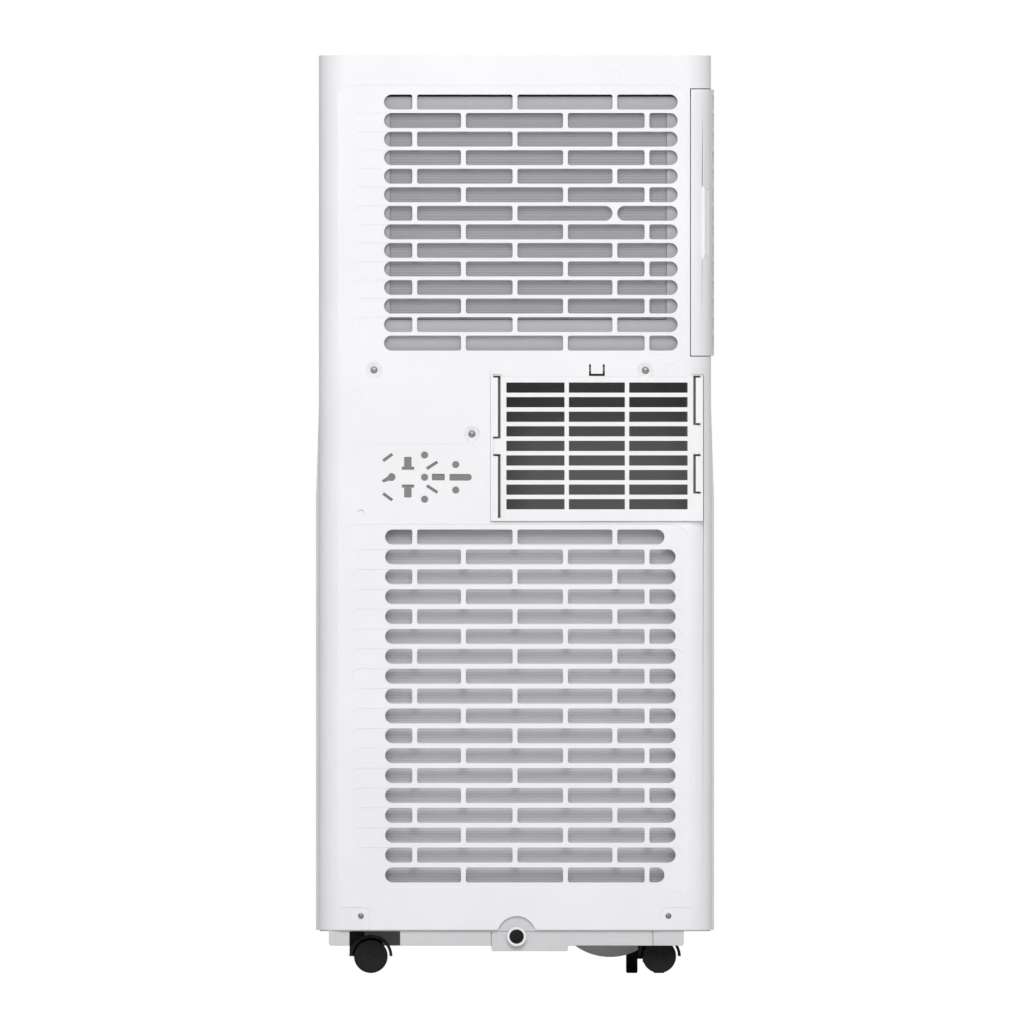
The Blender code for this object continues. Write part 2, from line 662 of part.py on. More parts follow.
def make_base_pan():
    front_half = WIDTH / 2
    body = prism(inside_outline(GAP, front_half), PAN_FLOOR, PAN_TOP)
    low = -WIDTH / 2 + VALANCE_RIGHT
    high = WIDTH / 2 - VALANCE_LEFT
    valance = box((low, SKIRT_BACK - SKIRT_WALL, SKIRT_BOTTOM), (high, SKIRT_BACK, PAN_FLOOR + 0.001))
    tray = prism(inside_outline(GAP + 0.003, front_half - 0.002), PAN_FLOOR + PAN_THICKNESS, PAN_TOP + 0.001)
    seat = box((COIL_LOW_X, COIL_FRONT + 0.001, PAN_FLOOR + 0.001), (COIL_HIGH_X, COIL_BACK - 0.001, PAN_TOP))
    drain = box((DRAIN_X - 0.0378, SKIRT_BACK - 0.025, SKIRT_BOTTOM - 0.004), (DRAIN_X + 0.0185, SKIRT_BACK, PAN_FLOOR + 0.001))
    belly_x = -WIDTH / 2 + 0.0771
    belly = arc((belly_x, SKIRT_BOTTOM + 0.0356), 0.044, 234, 306, 8)
    belly += [(belly_x + 0.0259, PAN_FLOOR + 0.001), (belly_x - 0.0259, PAN_FLOOR + 0.001)]
    belly = prism(belly, -0.020, DEPTH / 2 - CASTER_INSET - CASTER_SWEEP - 0.001, "Y")
    pivots = []
    for _, x, y, _ in STEMS:
        pivots.append(cylinder((x, y, 0), "Z", PIVOT_RADIUS + 1.5 * GAP, PAN_FLOOR - 0.001, PAN_FLOOR + 0.01, 12))
    notch = WIDTH / 2 - 0.0249
    notch = box((notch - 0.0374, SKIRT_BACK - 0.004, SKIRT_BOTTOM - 0.001), (notch, SKIRT_BACK + 0.001, PAN_FLOOR))
    bores = [cylinder((DRAIN_X, 0, DRAIN_Z), "Y", DRAIN_BORE, SKIRT_BACK - 0.03, SKIRT_BACK + 0.001, 16)]
    bores += [screw_bore(x, z, 0.0014) for _, x, z in FOOT_SCREWS]
    steps = [
        ("DIFFERENCE", [tray]), ("UNION", [seat]), ("UNION", [valance]), ("UNION", [drain]), ("UNION", [belly]),
        ("DIFFERENCE", pivots), ("DIFFERENCE", [notch]), ("DIFFERENCE", bores),
    ]
    part("base_pan", PALE, body, steps)
    tube = [(DRAIN_BORE, REAR_INNER), (DRAIN_RADIUS, REAR_INNER)]
    tube += [(DRAIN_RADIUS, REAR + 0.002), (DRAIN_BORE, REAR + 0.002)]
    part("drain_spout", WHITE, turned(tube, (DRAIN_X, 0, DRAIN_Z), "Y", 20), smooth=True)


def make_casters():
    inner = WHEEL_RADIUS + HOOD_GAP
    for name, x, y, degrees in STEMS:
        axle = (x - TRAIL, y, WHEEL_RADIUS)
        flat = (axle[0], axle[2])
        ring = arc(flat, HOOD_RADIUS, 0, 180, 8) + arc(flat, inner, 180, 0, 8)
        web = arc(flat, inner + 0.001, 0, 180, 8) + arc(flat, AXLE_RADIUS + 0.0025, 180, 360, 4)
        steps = [
            ("UNION", [spun(prism(web, y - 0.002, y + 0.002, "Y"), x, y, degrees)]),
            ("UNION", [cylinder((x, y, 0), "Z", STEM_RADIUS, WHEEL_RADIUS - 0.0028, PAN_FLOOR - GAP, 12)]),
            ("UNION", [cylinder((x, y, 0), "Z", PIVOT_RADIUS, PAN_FLOOR - 0.001, PAN_FLOOR + PAN_THICKNESS, 12)]),
            ("DIFFERENCE", [spun(
                cylinder((axle[0], 0, axle[2]), "Y", AXLE_RADIUS + GAP, y - 0.003, y + 0.003, 12), x, y, degrees)]),
        ]
        hood = spun(prism(ring, y - WHEEL_OUTER, y + WHEEL_OUTER, "Y"), x, y, degrees)
        part(f"caster_hood_{name}", BLACK, hood, steps, pivot=(x, y, PAN_FLOOR))
        profile = [
            (0, y - WHEEL_OUTER), (WHEEL_RADIUS - 0.001, y - WHEEL_OUTER), (WHEEL_RADIUS, y - WHEEL_OUTER + 0.001),
            (WHEEL_RADIUS, y - WHEEL_INNER), (AXLE_RADIUS, y - WHEEL_INNER), (AXLE_RADIUS, y + WHEEL_INNER),
            (WHEEL_RADIUS, y + WHEEL_INNER), (WHEEL_RADIUS, y + WHEEL_OUTER - 0.001),
            (WHEEL_RADIUS - 0.001, y + WHEEL_OUTER), (0, y + WHEEL_OUTER),
        ]
        wheels = spun(turned(profile, (axle[0], 0, axle[2]), "Y", 20), x, y, degrees)
        centre = Matrix.Rotation(math.radians(degrees), 3, "Z") @ Vector((-TRAIL, 0, 0)) + Vector((x, y, WHEEL_RADIUS))
        part(f"caster_wheels_{name}", BLACK, wheels, pivot=centre, smooth=True)


# Cooling circuit.
def make_coil(name, low, high, rows, pitch):
    """A fin pack, grooved behind the bars between the rows of slots."""
    body = box((COIL_LOW_X, COIL_FRONT, low), (COIL_HIGH_X, COIL_BACK, high))
    grooves = []
    for row in rows:
        z = row - pitch / 2
        if low + 0.002 < z < high - 0.002:
            grooves.append(box(
                (COIL_LOW_X - 0.001, COIL_BACK - 0.004, z - 0.0006), (COIL_HIGH_X + 0.001, COIL_BACK + 0.001, z + 0.0006)
            ))
    part(f"{name}_coil", STEEL, body, [("DIFFERENCE", grooves)], metal=True)
    plate = COIL_HIGH_X + GAP
    centre = (COIL_FRONT + COIL_BACK) / 2
    bends = []
    z = low + 0.026
    while z + BEND_RADIUS + TUBE_RADIUS < high:
        loop = [(plate + 0.0005, centre, z - BEND_RADIUS), (plate + 0.002, centre, z - BEND_RADIUS)]
        loop += [(plate + 0.002 + u, centre, z + v) for u, v in arc((0, 0), BEND_RADIUS, -60, 60, 3)]
        loop += [(plate + 0.002, centre, z + BEND_RADIUS), (plate + 0.0005, centre, z + BEND_RADIUS)]
        bends.append(pipe(loop, TUBE_RADIUS))
        z += 4 * BEND_RADIUS
    end_plate = box((plate, COIL_FRONT, low), (plate + 0.0015, COIL_BACK, high))
    part(f"{name}_tubes", COPPER, end_plate, [("UNION", bends)], metal=True)


def volute(centre, radius, side, mouth_low, top, neck, inset):
    """A scroll's outline: a spiral that grows until it runs straight up into its neck."""
    largest = radius + 0.024
    smallest = radius + 0.005
    steps = 18
    sweep = 290 if inset == 0 else 282
    outline = [(centre[0] + side * (largest - inset), top)]
    for step in range(steps + 1):
        turn = sweep * step / steps
        reach = largest + (smallest - largest) * turn / 290 - inset
        angle = math.radians(-turn)
        outline.append((centre[0] + side * reach * math.cos(angle), centre[1] + reach * math.sin(angle)))
    angle = math.radians(70)
    tongue = (centre[0] + side * smallest * math.cos(angle), centre[1] + smallest * math.sin(angle))
    if inset:
        outline.append((tongue[0] + side * inset, tongue[1]))
    neck = tongue[0] if neck is None else neck
    outline += [(neck + side * inset, mouth_low), (neck + side * inset, top)]
    return outline


def scroll_centre(radius, x, floor):
    """Stands the scroll on the floor below it."""
    lowest = min(v for _, v in volute((0, 0), radius, 1, 1, 1, None, 0))
    return (x, floor + GAP - lowest)


def make_fan(name, centre, radius):
    front = SCROLL_FRONT + SCROLL_WALL + 0.003
    back = front + FAN_WIDTH
    disc = [
        (0, SCROLL_FRONT - 0.021), (SHAFT_RADIUS, SCROLL_FRONT - 0.021), (SHAFT_RADIUS, front), (radius, front),
        (radius, front + 0.002), (0.012, front + 0.002), (0.010, front + 0.018), (0, front + 0.018),
    ]
    ring = [(radius - 0.012, back - 0.002), (radius, back - 0.002), (radius, back), (radius - 0.012, back)]
    solids = [turned(ring, (centre[0], 0, centre[1]), "Y", 28)]
    for blade in range(FAN_BLADES):
        degrees = 360 * (blade + 0.5) / FAN_BLADES
        angle = math.radians(degrees)
        middle = (centre[0] + (radius - 0.006) * math.cos(angle), centre[1] + (radius - 0.006) * math.sin(angle))
        outline = turned_outline(rectangle(-0.005, 0.005, -0.0006, 0.0006), middle, degrees + 35)
        solids.append(prism(outline, front + 0.001, back - 0.001, "Y"))
    hub = turned(disc, (centre[0], 0, centre[1]), "Y", 28)
    part(name, PALE, hub, [("UNION", solids)], pivot=(centre[0], (front + back) / 2, centre[1]))


def make_motor(name, centre, radius):
    back = SCROLL_FRONT - GAP
    bore = SHAFT_RADIUS + GAP
    profile = [(0, back - MOTOR_LENGTH), (radius * 0.6, back - MOTOR_LENGTH), (radius, back - MOTOR_LENGTH + 0.006)]
    profile += [(radius, back - 0.004), (radius * 0.8, back), (bore, back), (bore, back - 0.022), (0, back - 0.022)]
    part(name, STEEL, turned(profile, (centre[0], 0, centre[1]), "Y", 18), metal=True, smooth=True)


def make_scroll(name, centre, radius, side, mouth_low, top, neck, inner_top, window):
    outer = prism(volute(centre, radius, side, mouth_low, top, neck, 0), SCROLL_FRONT, SCROLL_BACK, "Y")
    inner = prism(
        volute(centre, radius, side, mouth_low, inner_top, neck, SCROLL_WALL),
        SCROLL_FRONT + SCROLL_WALL, SCROLL_BACK - SCROLL_WALL, "Y",
    )
    middle = (centre[0], 0, centre[1])
    holes = [
        cylinder(middle, "Y", radius * 0.8, SCROLL_BACK - 0.004, SCROLL_BACK + 0.001, 32),
        cylinder(middle, "Y", SHAFT_RADIUS + 0.001, SCROLL_FRONT - 0.001, SCROLL_FRONT + 0.004, 16),
    ]
    if window:
        holes.append(prism(window, SCROLL_BACK - 0.004, SCROLL_BACK + 0.001, "Y"))
    part(name, PALE, outer, [("DIFFERENCE", [inner]), ("DIFFERENCE", holes)])


def make_cold_half():
    floor = DECK_TOP + GAP
    tray = box((COIL_LOW_X - 0.004, COIL_FRONT - 0.004, floor), (COIL_HIGH_X + 0.012, COIL_BACK + 0.0012, floor + 0.012))
    hollow = box(
        (COIL_LOW_X - 0.0025, COIL_FRONT - 0.0025, floor + 0.0015),
        (COIL_HIGH_X + 0.0105, COIL_BACK + 0.0002, floor + 0.013),
    )
    part("condensate_tray", PALE, tray, [("DIFFERENCE", [hollow])])
    make_coil("evaporator", floor + 0.0015 + GAP, HEIGHT - 0.030, UPPER_ROWS, UPPER_PITCH)
    centre = scroll_centre(EVAPORATOR_FAN_RADIUS, -0.010, DECK_TOP)
    top = DUCT_LOW - OUTLET_WALL - GAP
    make_scroll("evaporator_scroll", centre, EVAPORATOR_FAN_RADIUS, 1, centre[1] + 0.066, top, None, top + 0.001, None)
    make_fan("evaporator_fan", centre, EVAPORATOR_FAN_RADIUS)
    make_motor("evaporator_motor", centre, 0.030)
    largest = EVAPORATOR_FAN_RADIUS + 0.024
    make_supply_duct(centre[0] + (EVAPORATOR_FAN_RADIUS + 0.005) * math.cos(math.radians(70)), centre[0] + largest)


def make_supply_duct(neck_low, neck_high):
    wall = OUTLET_WALL
    half = OUTLET_HALF_WIDTH
    front = FRONT_INNER + GAP + OUTLET_DEPTH + GAP
    body = box((-half - wall, front, DUCT_LOW - wall), (half + wall, SCROLL_BACK, OUTLET_HIGH + wall))
    hollow = box((-half, front - 0.001, DUCT_LOW), (half, SCROLL_BACK - wall, OUTLET_HIGH))
    hole = box(
        (neck_low + SCROLL_WALL, SCROLL_FRONT + SCROLL_WALL, DUCT_LOW - wall - 0.001),
        (neck_high - SCROLL_WALL, SCROLL_BACK - wall, DUCT_LOW + 0.001),
    )
    part("supply_duct", PALE, body, [("DIFFERENCE", [hollow]), ("DIFFERENCE", [hole])])


def make_hot_half():
    top = EXHAUST_BOTTOM - 0.0015
    make_coil("condenser", PAN_TOP + GAP, top, LOWER_ROWS, LOWER_PITCH)
    left = EXHAUST_LEFT + 0.0113
    floor = PAN_FLOOR + PAN_THICKNESS
    centre = scroll_centre(CONDENSER_FAN_RADIUS, left + CONDENSER_FAN_RADIUS + 0.024, floor)
    wall = SCROLL_WALL
    neck = EXHAUST_RIGHT - 0.003
    window = rectangle(left + wall, neck - wall, EXHAUST_BOTTOM + wall, EXHAUST_TOP - wall)
    make_scroll("condenser_scroll", centre, CONDENSER_FAN_RADIUS, -1, EXHAUST_BOTTOM, EXHAUST_TOP, neck,
                EXHAUST_TOP - wall, window)
    make_fan("condenser_fan", centre, CONDENSER_FAN_RADIUS)
    make_motor("condenser_motor", centre, 0.034)
    back = REAR - EXHAUST_RECESS - GAP
    duct = prism(rectangle(EXHAUST_LEFT, EXHAUST_RIGHT, EXHAUST_BOTTOM, EXHAUST_TOP), SCROLL_BACK + GAP, back, "Y")
    hollow = prism(
        rectangle(EXHAUST_LEFT + wall, EXHAUST_RIGHT - wall, EXHAUST_BOTTOM + wall, EXHAUST_TOP - wall),
        SCROLL_BACK - 0.001, back + 0.001, "Y",
    )
    part("exhaust_duct", PALE, duct, [("DIFFERENCE", [hollow])])


def bent(points, radius=0.014):
    """A route whose corners are rounded."""
    points = [Vector(point) for point in points]
    route = [points[0]]
    for index in range(1, len(points) - 1):
        corner = points[index]
        start = corner + (points[index - 1] - corner).normalized() * radius
        end = corner + (points[index + 1] - corner).normalized() * radius
        for step in range(4):
            share = step / 3
            route.append((1 - share) ** 2 * start + 2 * share * (1 - share) * corner + share ** 2 * end)
    route.append(points[-1])
    return route


def make_circuit():
    floor = PAN_FLOOR + PAN_THICKNESS + GAP
    x, y = -0.060, FRONT + 0.065
    top = floor + 0.206
    profile = [
        (0, floor), (0.050, floor), (0.050, floor + 0.003), (0.046, floor + 0.004), (0.046, top - 0.030),
        (0.040, top - 0.012), (0.024, top - 0.002), (0, top),
    ]
    part("compressor", BLACK, turned(profile, (x, y, 0), "Z", 28), metal=True, smooth=True)
    bottle_x = x + 0.046 + GAP + 0.017
    bottle_top = floor + 0.166
    profile = [(0, floor + 0.056), (0.012, floor + 0.058), (0.017, floor + 0.066), (0.017, bottle_top - 0.010)]
    profile += [(0.012, bottle_top - 0.002), (0, bottle_top)]
    part("accumulator", BLACK, turned(profile, (bottle_x, y, 0), "Z", 20), metal=True, smooth=True)
    end = COIL_HIGH_X + GAP + 0.0015 + GAP
    level = DECK_BOTTOM - 0.156
    route = [
        (x, y, top + GAP), (x, y, level), (0.020, y + 0.065, level), (0.090, SPLIT, level),
        (SUCTION_X + 0.003, SPLIT + 0.040, level), (SUCTION_X + 0.003, SUCTION_Y, level), (end, SUCTION_Y, level),
    ]
    part("discharge_pipe", COPPER, pipe(bent(route), TUBE_RADIUS), metal=True, smooth=True)
    level = DECK_BOTTOM - 0.076
    route = [
        (end, SUCTION_Y, DECK_TOP + 0.026), (SUCTION_X, SUCTION_Y, DECK_TOP + 0.026), (SUCTION_X, SUCTION_Y, level),
        (SUCTION_X, SPLIT, level), (0.060, SPLIT - 0.060, level - 0.040), (bottle_x, y, level - 0.070),
        (bottle_x, y, bottle_top + GAP),
    ]
    part("suction_pipe", COPPER, pipe(bent(route), TUBE_RADIUS), metal=True, smooth=True)
    side = COIL_BACK - 0.005
    route = [
        (end, side, PAN_TOP + 0.026), (CAPILLARY_X, side, PAN_TOP + 0.026), (CAPILLARY_X, CAPILLARY_Y, PAN_TOP + 0.060),
        (CAPILLARY_X, CAPILLARY_Y, DECK_TOP + 0.050), (CAPILLARY_X, side, DECK_TOP + 0.071), (end, side, DECK_TOP + 0.071),
    ]
    part("capillary_tube", COPPER, pipe(bent(route, 0.010), 0.0013), metal=True, smooth=True)


def make_electrics():
    top = DECK_BOTTOM - GAP
    high_x = HALF - 0.0152
    low_x = high_x - 0.064
    front = FRONT + 0.015
    part("electric_box", BLACK, box((low_x, front, top - 0.095), (high_x, front + 0.070, top)))
    capacitor = cylinder((low_x - GAP - 0.016, front + 0.035, 0), "Z", 0.016, top - 0.080, top, 20)
    part("run_capacitor", STEEL, capacitor, metal=True, smooth=True)


# Air outlet and controls.
def make_outlet():
    wall = OUTLET_WALL
    half = OUTLET_HALF_WIDTH
    front = FRONT_INNER + GAP
    back = front + OUTLET_DEPTH
    body = box((-half - wall, front, OUTLET_LOW - wall), (half + wall, back, OUTLET_HIGH + wall))
    hollow = box((-half, front - 0.001, OUTLET_LOW), (half, back - wall, OUTLET_HIGH))
    rear = box((-half, back - wall - 0.001, DUCT_LOW), (half, back + 0.001, OUTLET_HIGH))
    holes = []
    heights = [OUTLET_LOW + 0.011 + index * VANE_PITCH for index in range(VANE_COUNT)]
    for z in heights:
        holes.append(cylinder((0, VANE_Y, z), "X", VANE_PIN + GAP, -half - wall - 0.001, half + wall + 0.001, 12))
    part("outlet_housing", PALE, body, [("DIFFERENCE", [hollow]), ("DIFFERENCE", [rear]), ("DIFFERENCE", holes)])
    crank_y = VANE_Y + CRANK_REACH
    blade_left = -half + 0.007
    for number, z in enumerate(heights):
        reach = VANE_CHORD / 2
        flat = VANE_THICKNESS / 2
        blade = [(VANE_Y - reach, z), (VANE_Y - reach + 0.002, z - flat), (VANE_Y + reach - 0.002, z - flat)]
        blade += [(VANE_Y + reach, z), (VANE_Y + reach - 0.002, z + flat), (VANE_Y - reach + 0.002, z + flat)]
        pins = [
            cylinder((0, VANE_Y, z), "X", VANE_PIN, -half - 0.0015, half + 0.0015, 12),
            cylinder((0, crank_y, z), "X", 0.0011, -half + 0.002, blade_left + 0.004, 8),
        ]
        part(f"vane_{number + 1}", WHITE, prism(blade, blade_left, half - 0.001, "X"), [("UNION", pins)],
             pivot=(0, VANE_Y, z))
    bar = rounded(crank_y - 0.0024, crank_y + 0.0024, heights[0] - 0.004, heights[-1] + 0.004, 0.002)
    pin_holes = []
    for z in heights:
        pin_holes.append(cylinder((0, crank_y, z), "X", 0.0015, -half, -half + 0.009, 8))
    part("vane_link", PALE, prism(bar, -half + 0.003, blade_left - 0.0005, "X"), [("DIFFERENCE", pin_holes)],
         pivot=(0, crank_y, heights[0]))
    side = half + wall + GAP
    part("swing_motor", STEEL, cylinder((0, VANE_Y, heights[0]), "X", 0.012, side, side + 0.012, 24), metal=True,
         smooth=True)


def make_controls():
    low_y = FRONT + PANEL_FRONT_MARGIN
    high_y = low_y + PANEL_DEPTH
    half = PANEL_HALF_WIDTH
    top = COVER_BOTTOM + COVER_THICKNESS
    board_top = COVER_BOTTOM - 0.010
    button_y = low_y + 0.014
    xs = [(index - (BUTTON_COUNT - 1) / 2) * BUTTON_PITCH for index in range(BUTTON_COUNT)]
    body = prism(rounded(-half, half, low_y, high_y, 0.008), COVER_BOTTOM, top)
    posts = []
    for x in (-half + 0.008, half - 0.008):
        for y in (low_y + 0.006, high_y - 0.006):
            posts.append(cylinder((x, y, 0), "Z", 0.002, board_top + GAP, COVER_BOTTOM + 0.0005, 6))
    holes = []
    for x in xs:
        holes.append(cylinder((x, button_y, 0), "Z", BUTTON_RADIUS + 1.5 * GAP, COVER_BOTTOM - 0.001, top + 0.001, 14))
    lens = rounded(-0.020, 0.020, high_y - 0.020, high_y - 0.006, 0.002)
    frame = rounded(-0.020 - GAP, 0.020 + GAP, high_y - 0.020 - GAP, high_y - 0.006 + GAP, 0.002 + GAP)
    holes.append(prism(frame, COVER_BOTTOM - 0.001, top + 0.001))
    part("control_panel", GREY, body, [("UNION", posts), ("DIFFERENCE", holes)])
    part("display_lens", BLACK, prism(lens, COVER_BOTTOM + 0.001, top))
    for number, x in enumerate(xs):
        profile = [
            (0, board_top + 0.0018), (0.002, board_top + 0.0018), (0.002, COVER_BOTTOM - GAP - 0.002),
            (BUTTON_RADIUS + 0.0015, COVER_BOTTOM - GAP - 0.002), (BUTTON_RADIUS + 0.0015, COVER_BOTTOM - GAP),
            (BUTTON_RADIUS, COVER_BOTTOM - GAP), (BUTTON_RADIUS, HEIGHT - 0.0004), (BUTTON_RADIUS - 0.0004, HEIGHT),
            (0, HEIGHT),
        ]
        part(f"button_{number + 1}", WHITE, turned(profile, (x, button_y, 0), "Z", 14),
             pivot=(x, button_y, COVER_BOTTOM), smooth=True)
    board = box((-half + 0.003, low_y + 0.002, board_top - 0.0016), (half - 0.003, high_y - 0.002, board_top))
    part("control_board", GREEN, board)


make_rear_shell()
make_front_shell()
make_grip_cups()
make_cover_and_deck()
make_exhaust_grille()
make_filter()
make_base_pan()
make_casters()
make_cold_half()
make_hot_half()
make_circuit()
make_electrics()
make_outlet()
make_controls()
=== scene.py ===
"""The looks of a portable air conditioner: finer casing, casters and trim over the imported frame."""

import math
import bmesh
import bpy
from mathutils import Matrix, Vector

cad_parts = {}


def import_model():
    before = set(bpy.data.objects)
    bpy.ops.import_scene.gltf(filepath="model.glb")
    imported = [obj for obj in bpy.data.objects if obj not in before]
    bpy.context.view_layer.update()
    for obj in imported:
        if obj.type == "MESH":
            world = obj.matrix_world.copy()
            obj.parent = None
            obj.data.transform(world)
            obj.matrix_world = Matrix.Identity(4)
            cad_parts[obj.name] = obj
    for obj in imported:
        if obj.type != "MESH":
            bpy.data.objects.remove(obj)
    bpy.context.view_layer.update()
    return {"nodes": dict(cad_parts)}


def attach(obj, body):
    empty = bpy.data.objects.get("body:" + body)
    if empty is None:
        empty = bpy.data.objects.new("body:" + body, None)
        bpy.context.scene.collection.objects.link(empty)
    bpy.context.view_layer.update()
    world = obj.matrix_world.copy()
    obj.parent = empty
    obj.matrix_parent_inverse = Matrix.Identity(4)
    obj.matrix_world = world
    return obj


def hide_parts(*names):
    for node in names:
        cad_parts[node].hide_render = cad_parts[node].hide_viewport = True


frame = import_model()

NODES = frame["nodes"]

# Sizes of the casing, in metres.
WALL = 0.0025
GAP = 0.0003
HALF = 0.14525
WIDEST = 0.1475
BACKMOST = 0.150
REAR = 0.1465
FRONT = -0.150
SPLIT = 0.020
BOTTOM = 0.032
TOP = 0.680
REAR_CORNER = 0.019
FRONT_CORNER = 0.030
SLOT = 0.0111
SPAN_LOW = -0.1205
SPAN_HIGH = 0.0970
RIB = 0.0036
ODD_RIBS = (-0.0740, 0.0, 0.0743)
EVEN_RIBS = (-0.0978, -0.0374, 0.0382)
UPPER_ROWS = [0.6454 - 0.01374 * row for row in range(14)]
LOWER_ROWS = [0.3231 - 0.01473 * row for row in range(18)]
FULL_ROUND = SLOT / 2 - 0.00002
SLOT_CORNER = 0.0016
FLARE_START = 0.421
FLARE_FULL = 0.350
THROUGH = 0.004
PROUD = 0.002

# How every piece is finished, in degrees.
FLAT_WITHIN = 0.5
BEVEL_FROM = 32
SHARP_FROM = 38


# Outlines.
def arc(centre, radius, start, end, steps):
    points = []
    for step in range(steps + 1):
        angle = math.radians(start + (end - start) * step / steps)
        points.append((centre[0] + radius * math.cos(angle), centre[1] + radius * math.sin(angle)))
    return points


def rectangle(low_u, high_u, low_v, high_v):
    return [(low_u, low_v), (high_u, low_v), (high_u, high_v), (low_u, high_v)]


def rounded(low_u, high_u, low_v, high_v, radius, steps=8):
    outline = arc((high_u - radius, low_v + radius), radius, -90, 0, steps)
    outline += arc((high_u - radius, high_v - radius), radius, 0, 90, steps)
    outline += arc((low_u + radius, high_v - radius), radius, 90, 180, steps)
    outline += arc((low_u + radius, low_v + radius), radius, 180, 270, steps)
    return outline


def slot(low_u, high_u, centre_v, height, low_radius, high_radius):
    """A slot with its own corner radius at each end; half the height makes a full round."""
    half = height / 2
    outline = []
    for radius, edge, way in ((high_radius, high_u, 1), (low_radius, low_u, -1)):
        steps = 10 if radius > half * 0.9 else 4
        centre = edge - way * radius
        if way > 0:
            outline += arc((centre, centre_v - half + radius), radius, -90, 0, steps)
            outline += arc((centre, centre_v + half - radius), radius, 0, 90, steps)
        else:
            outline += arc((centre, centre_v + half - radius), radius, 90, 180, steps)
            outline += arc((centre, centre_v - half + radius), radius, 180, 270, steps)
    kept = [outline[0]]
    for point in outline[1:]:
        if math.dist(point, kept[-1]) > 1e-6:
            kept.append(point)
    return kept


def turned_outline(outline, centre, degrees):
    across, along = math.cos(math.radians(degrees)), math.sin(math.radians(degrees))
    return [
        (centre[0] + u * across - v * along, centre[1] + u * along + v * across)
        for u, v in outline
    ]


# Solids, each a bmesh.
def placed(u, v, w, axis):
    return Vector({"X": (w, u, v), "Y": (u, w, v), "Z": (u, v, w)}[axis])


def prism(outline, low, high, axis="Z"):
    """An outline carried along an axis."""
    work = bmesh.new()
    face = work.faces.new([work.verts.new(placed(u, v, low, axis)) for u, v in outline])
    made = bmesh.ops.extrude_face_region(work, geom=[face])["geom"]
    corners = [item for item in made if isinstance(item, bmesh.types.BMVert)]
    bmesh.ops.translate(work, vec=placed(0, 0, high - low, axis), verts=corners)
    return work


def box(low, high):
    return prism(rectangle(low[0], high[0], low[1], high[1]), low[2], high[2])


def turned(profile, centre, axis, steps=48):
    """A profile of (radius, along) points spun about an axis; a radius of 0 closes an end."""
    work = bmesh.new()
    corners = [work.verts.new(Vector(centre) + placed(radius, 0, along, axis)) for radius, along in profile]
    if axis == "X":
        for corner, (radius, along) in zip(corners, profile):
            corner.co = Vector(centre) + Vector((along, radius, 0))
    edges = [work.edges.new(pair) for pair in zip(corners, corners[1:])]
    if profile[0][0] != 0:
        edges.append(work.edges.new((corners[-1], corners[0])))
    bmesh.ops.spin(
        work, geom=corners + edges, cent=Vector(centre), axis=placed(0, 0, 1, axis), angle=2 * math.pi,
        steps=steps, use_merge=True,
    )
    bmesh.ops.remove_doubles(work, verts=work.verts, dist=1e-6)
    return work


def cylinder(centre, axis, radius, low, high, steps=32):
    return turned([(0, low), (radius, low), (radius, high), (0, high)], centre, axis, steps)


def spun(work, x, y, degrees):
    turn = Matrix.Rotation(math.radians(degrees), 3, "Z")
    bmesh.ops.rotate(work, cent=(x, y, 0), matrix=turn, verts=work.verts)
    return work


# Pieces.
def mesh_object(name, solids):
    total = bmesh.new()
    for work in solids:
        bmesh.ops.recalc_face_normals(work, faces=work.faces)
        holder = bpy.data.meshes.new(name)
        work.to_mesh(holder)
        work.free()
        total.from_mesh(holder)
        bpy.data.meshes.remove(holder)
    mesh = bpy.data.meshes.new(name)
    total.to_mesh(mesh)
    total.free()
    made = bpy.data.objects.new(name, mesh)
    bpy.context.scene.collection.objects.link(made)
    return made


def bake(made):
    bpy.context.view_layer.update()
    evaluated = made.evaluated_get(bpy.context.evaluated_depsgraph_get())
    mesh = bpy.data.meshes.new_from_object(evaluated)
    made.modifiers.clear()
    old = made.data
    made.data = mesh
    bpy.data.meshes.remove(old)


def change(made, operation, solids):
    tool = mesh_object(made.name + "_tool", solids)
    step = made.modifiers.new("step", "BOOLEAN")
    step.operation = operation
    step.solver = "EXACT"
    step.use_self = operation == "UNION" and len(solids) > 1
    step.object = tool
    bake(made)
    mesh = tool.data
    bpy.data.objects.remove(tool)
    bpy.data.meshes.remove(mesh)


def piece(name, material, solid, body, replaced=(), steps=(), bevel=0.0003, segments=2,
          tidy=True):
    """One visible piece that rides on a body of the frame; tidy merges its flat faces."""
    made = mesh_object(name, [solid])
    for operation, solids in steps:
        change(made, operation, solids)
    work = bmesh.new()
    work.from_mesh(made.data)
    bmesh.ops.remove_doubles(work, verts=work.verts, dist=2e-6)
    bmesh.ops.dissolve_degenerate(work, edges=work.edges, dist=1e-6)
    if tidy:
        limit = math.radians(FLAT_WITHIN)
        bmesh.ops.dissolve_limit(work, angle_limit=limit, verts=work.verts, edges=work.edges)
    work.to_mesh(made.data)
    work.free()
    if bevel:
        edge = made.modifiers.new("edge", "BEVEL")
        edge.width = bevel
        edge.segments = segments
        edge.limit_method = "ANGLE"
        edge.angle_limit = math.radians(BEVEL_FROM)
        edge.use_clamp_overlap = False
        edge.miter_outer = "MITER_ARC" if segments > 2 else "MITER_SHARP"
        edge.harden_normals = False
        bake(made)
    made.data.materials.clear()
    made.data.materials.append(material)
    made.data.shade_smooth()
    made.data.set_sharp_from_angle(angle=math.radians(SHARP_FROM))
    weigh = made.modifiers.new("normals", "WEIGHTED_NORMAL")
    weigh.keep_sharp = True
    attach(made, body)
    if replaced:
        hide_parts(*replaced)
    return made


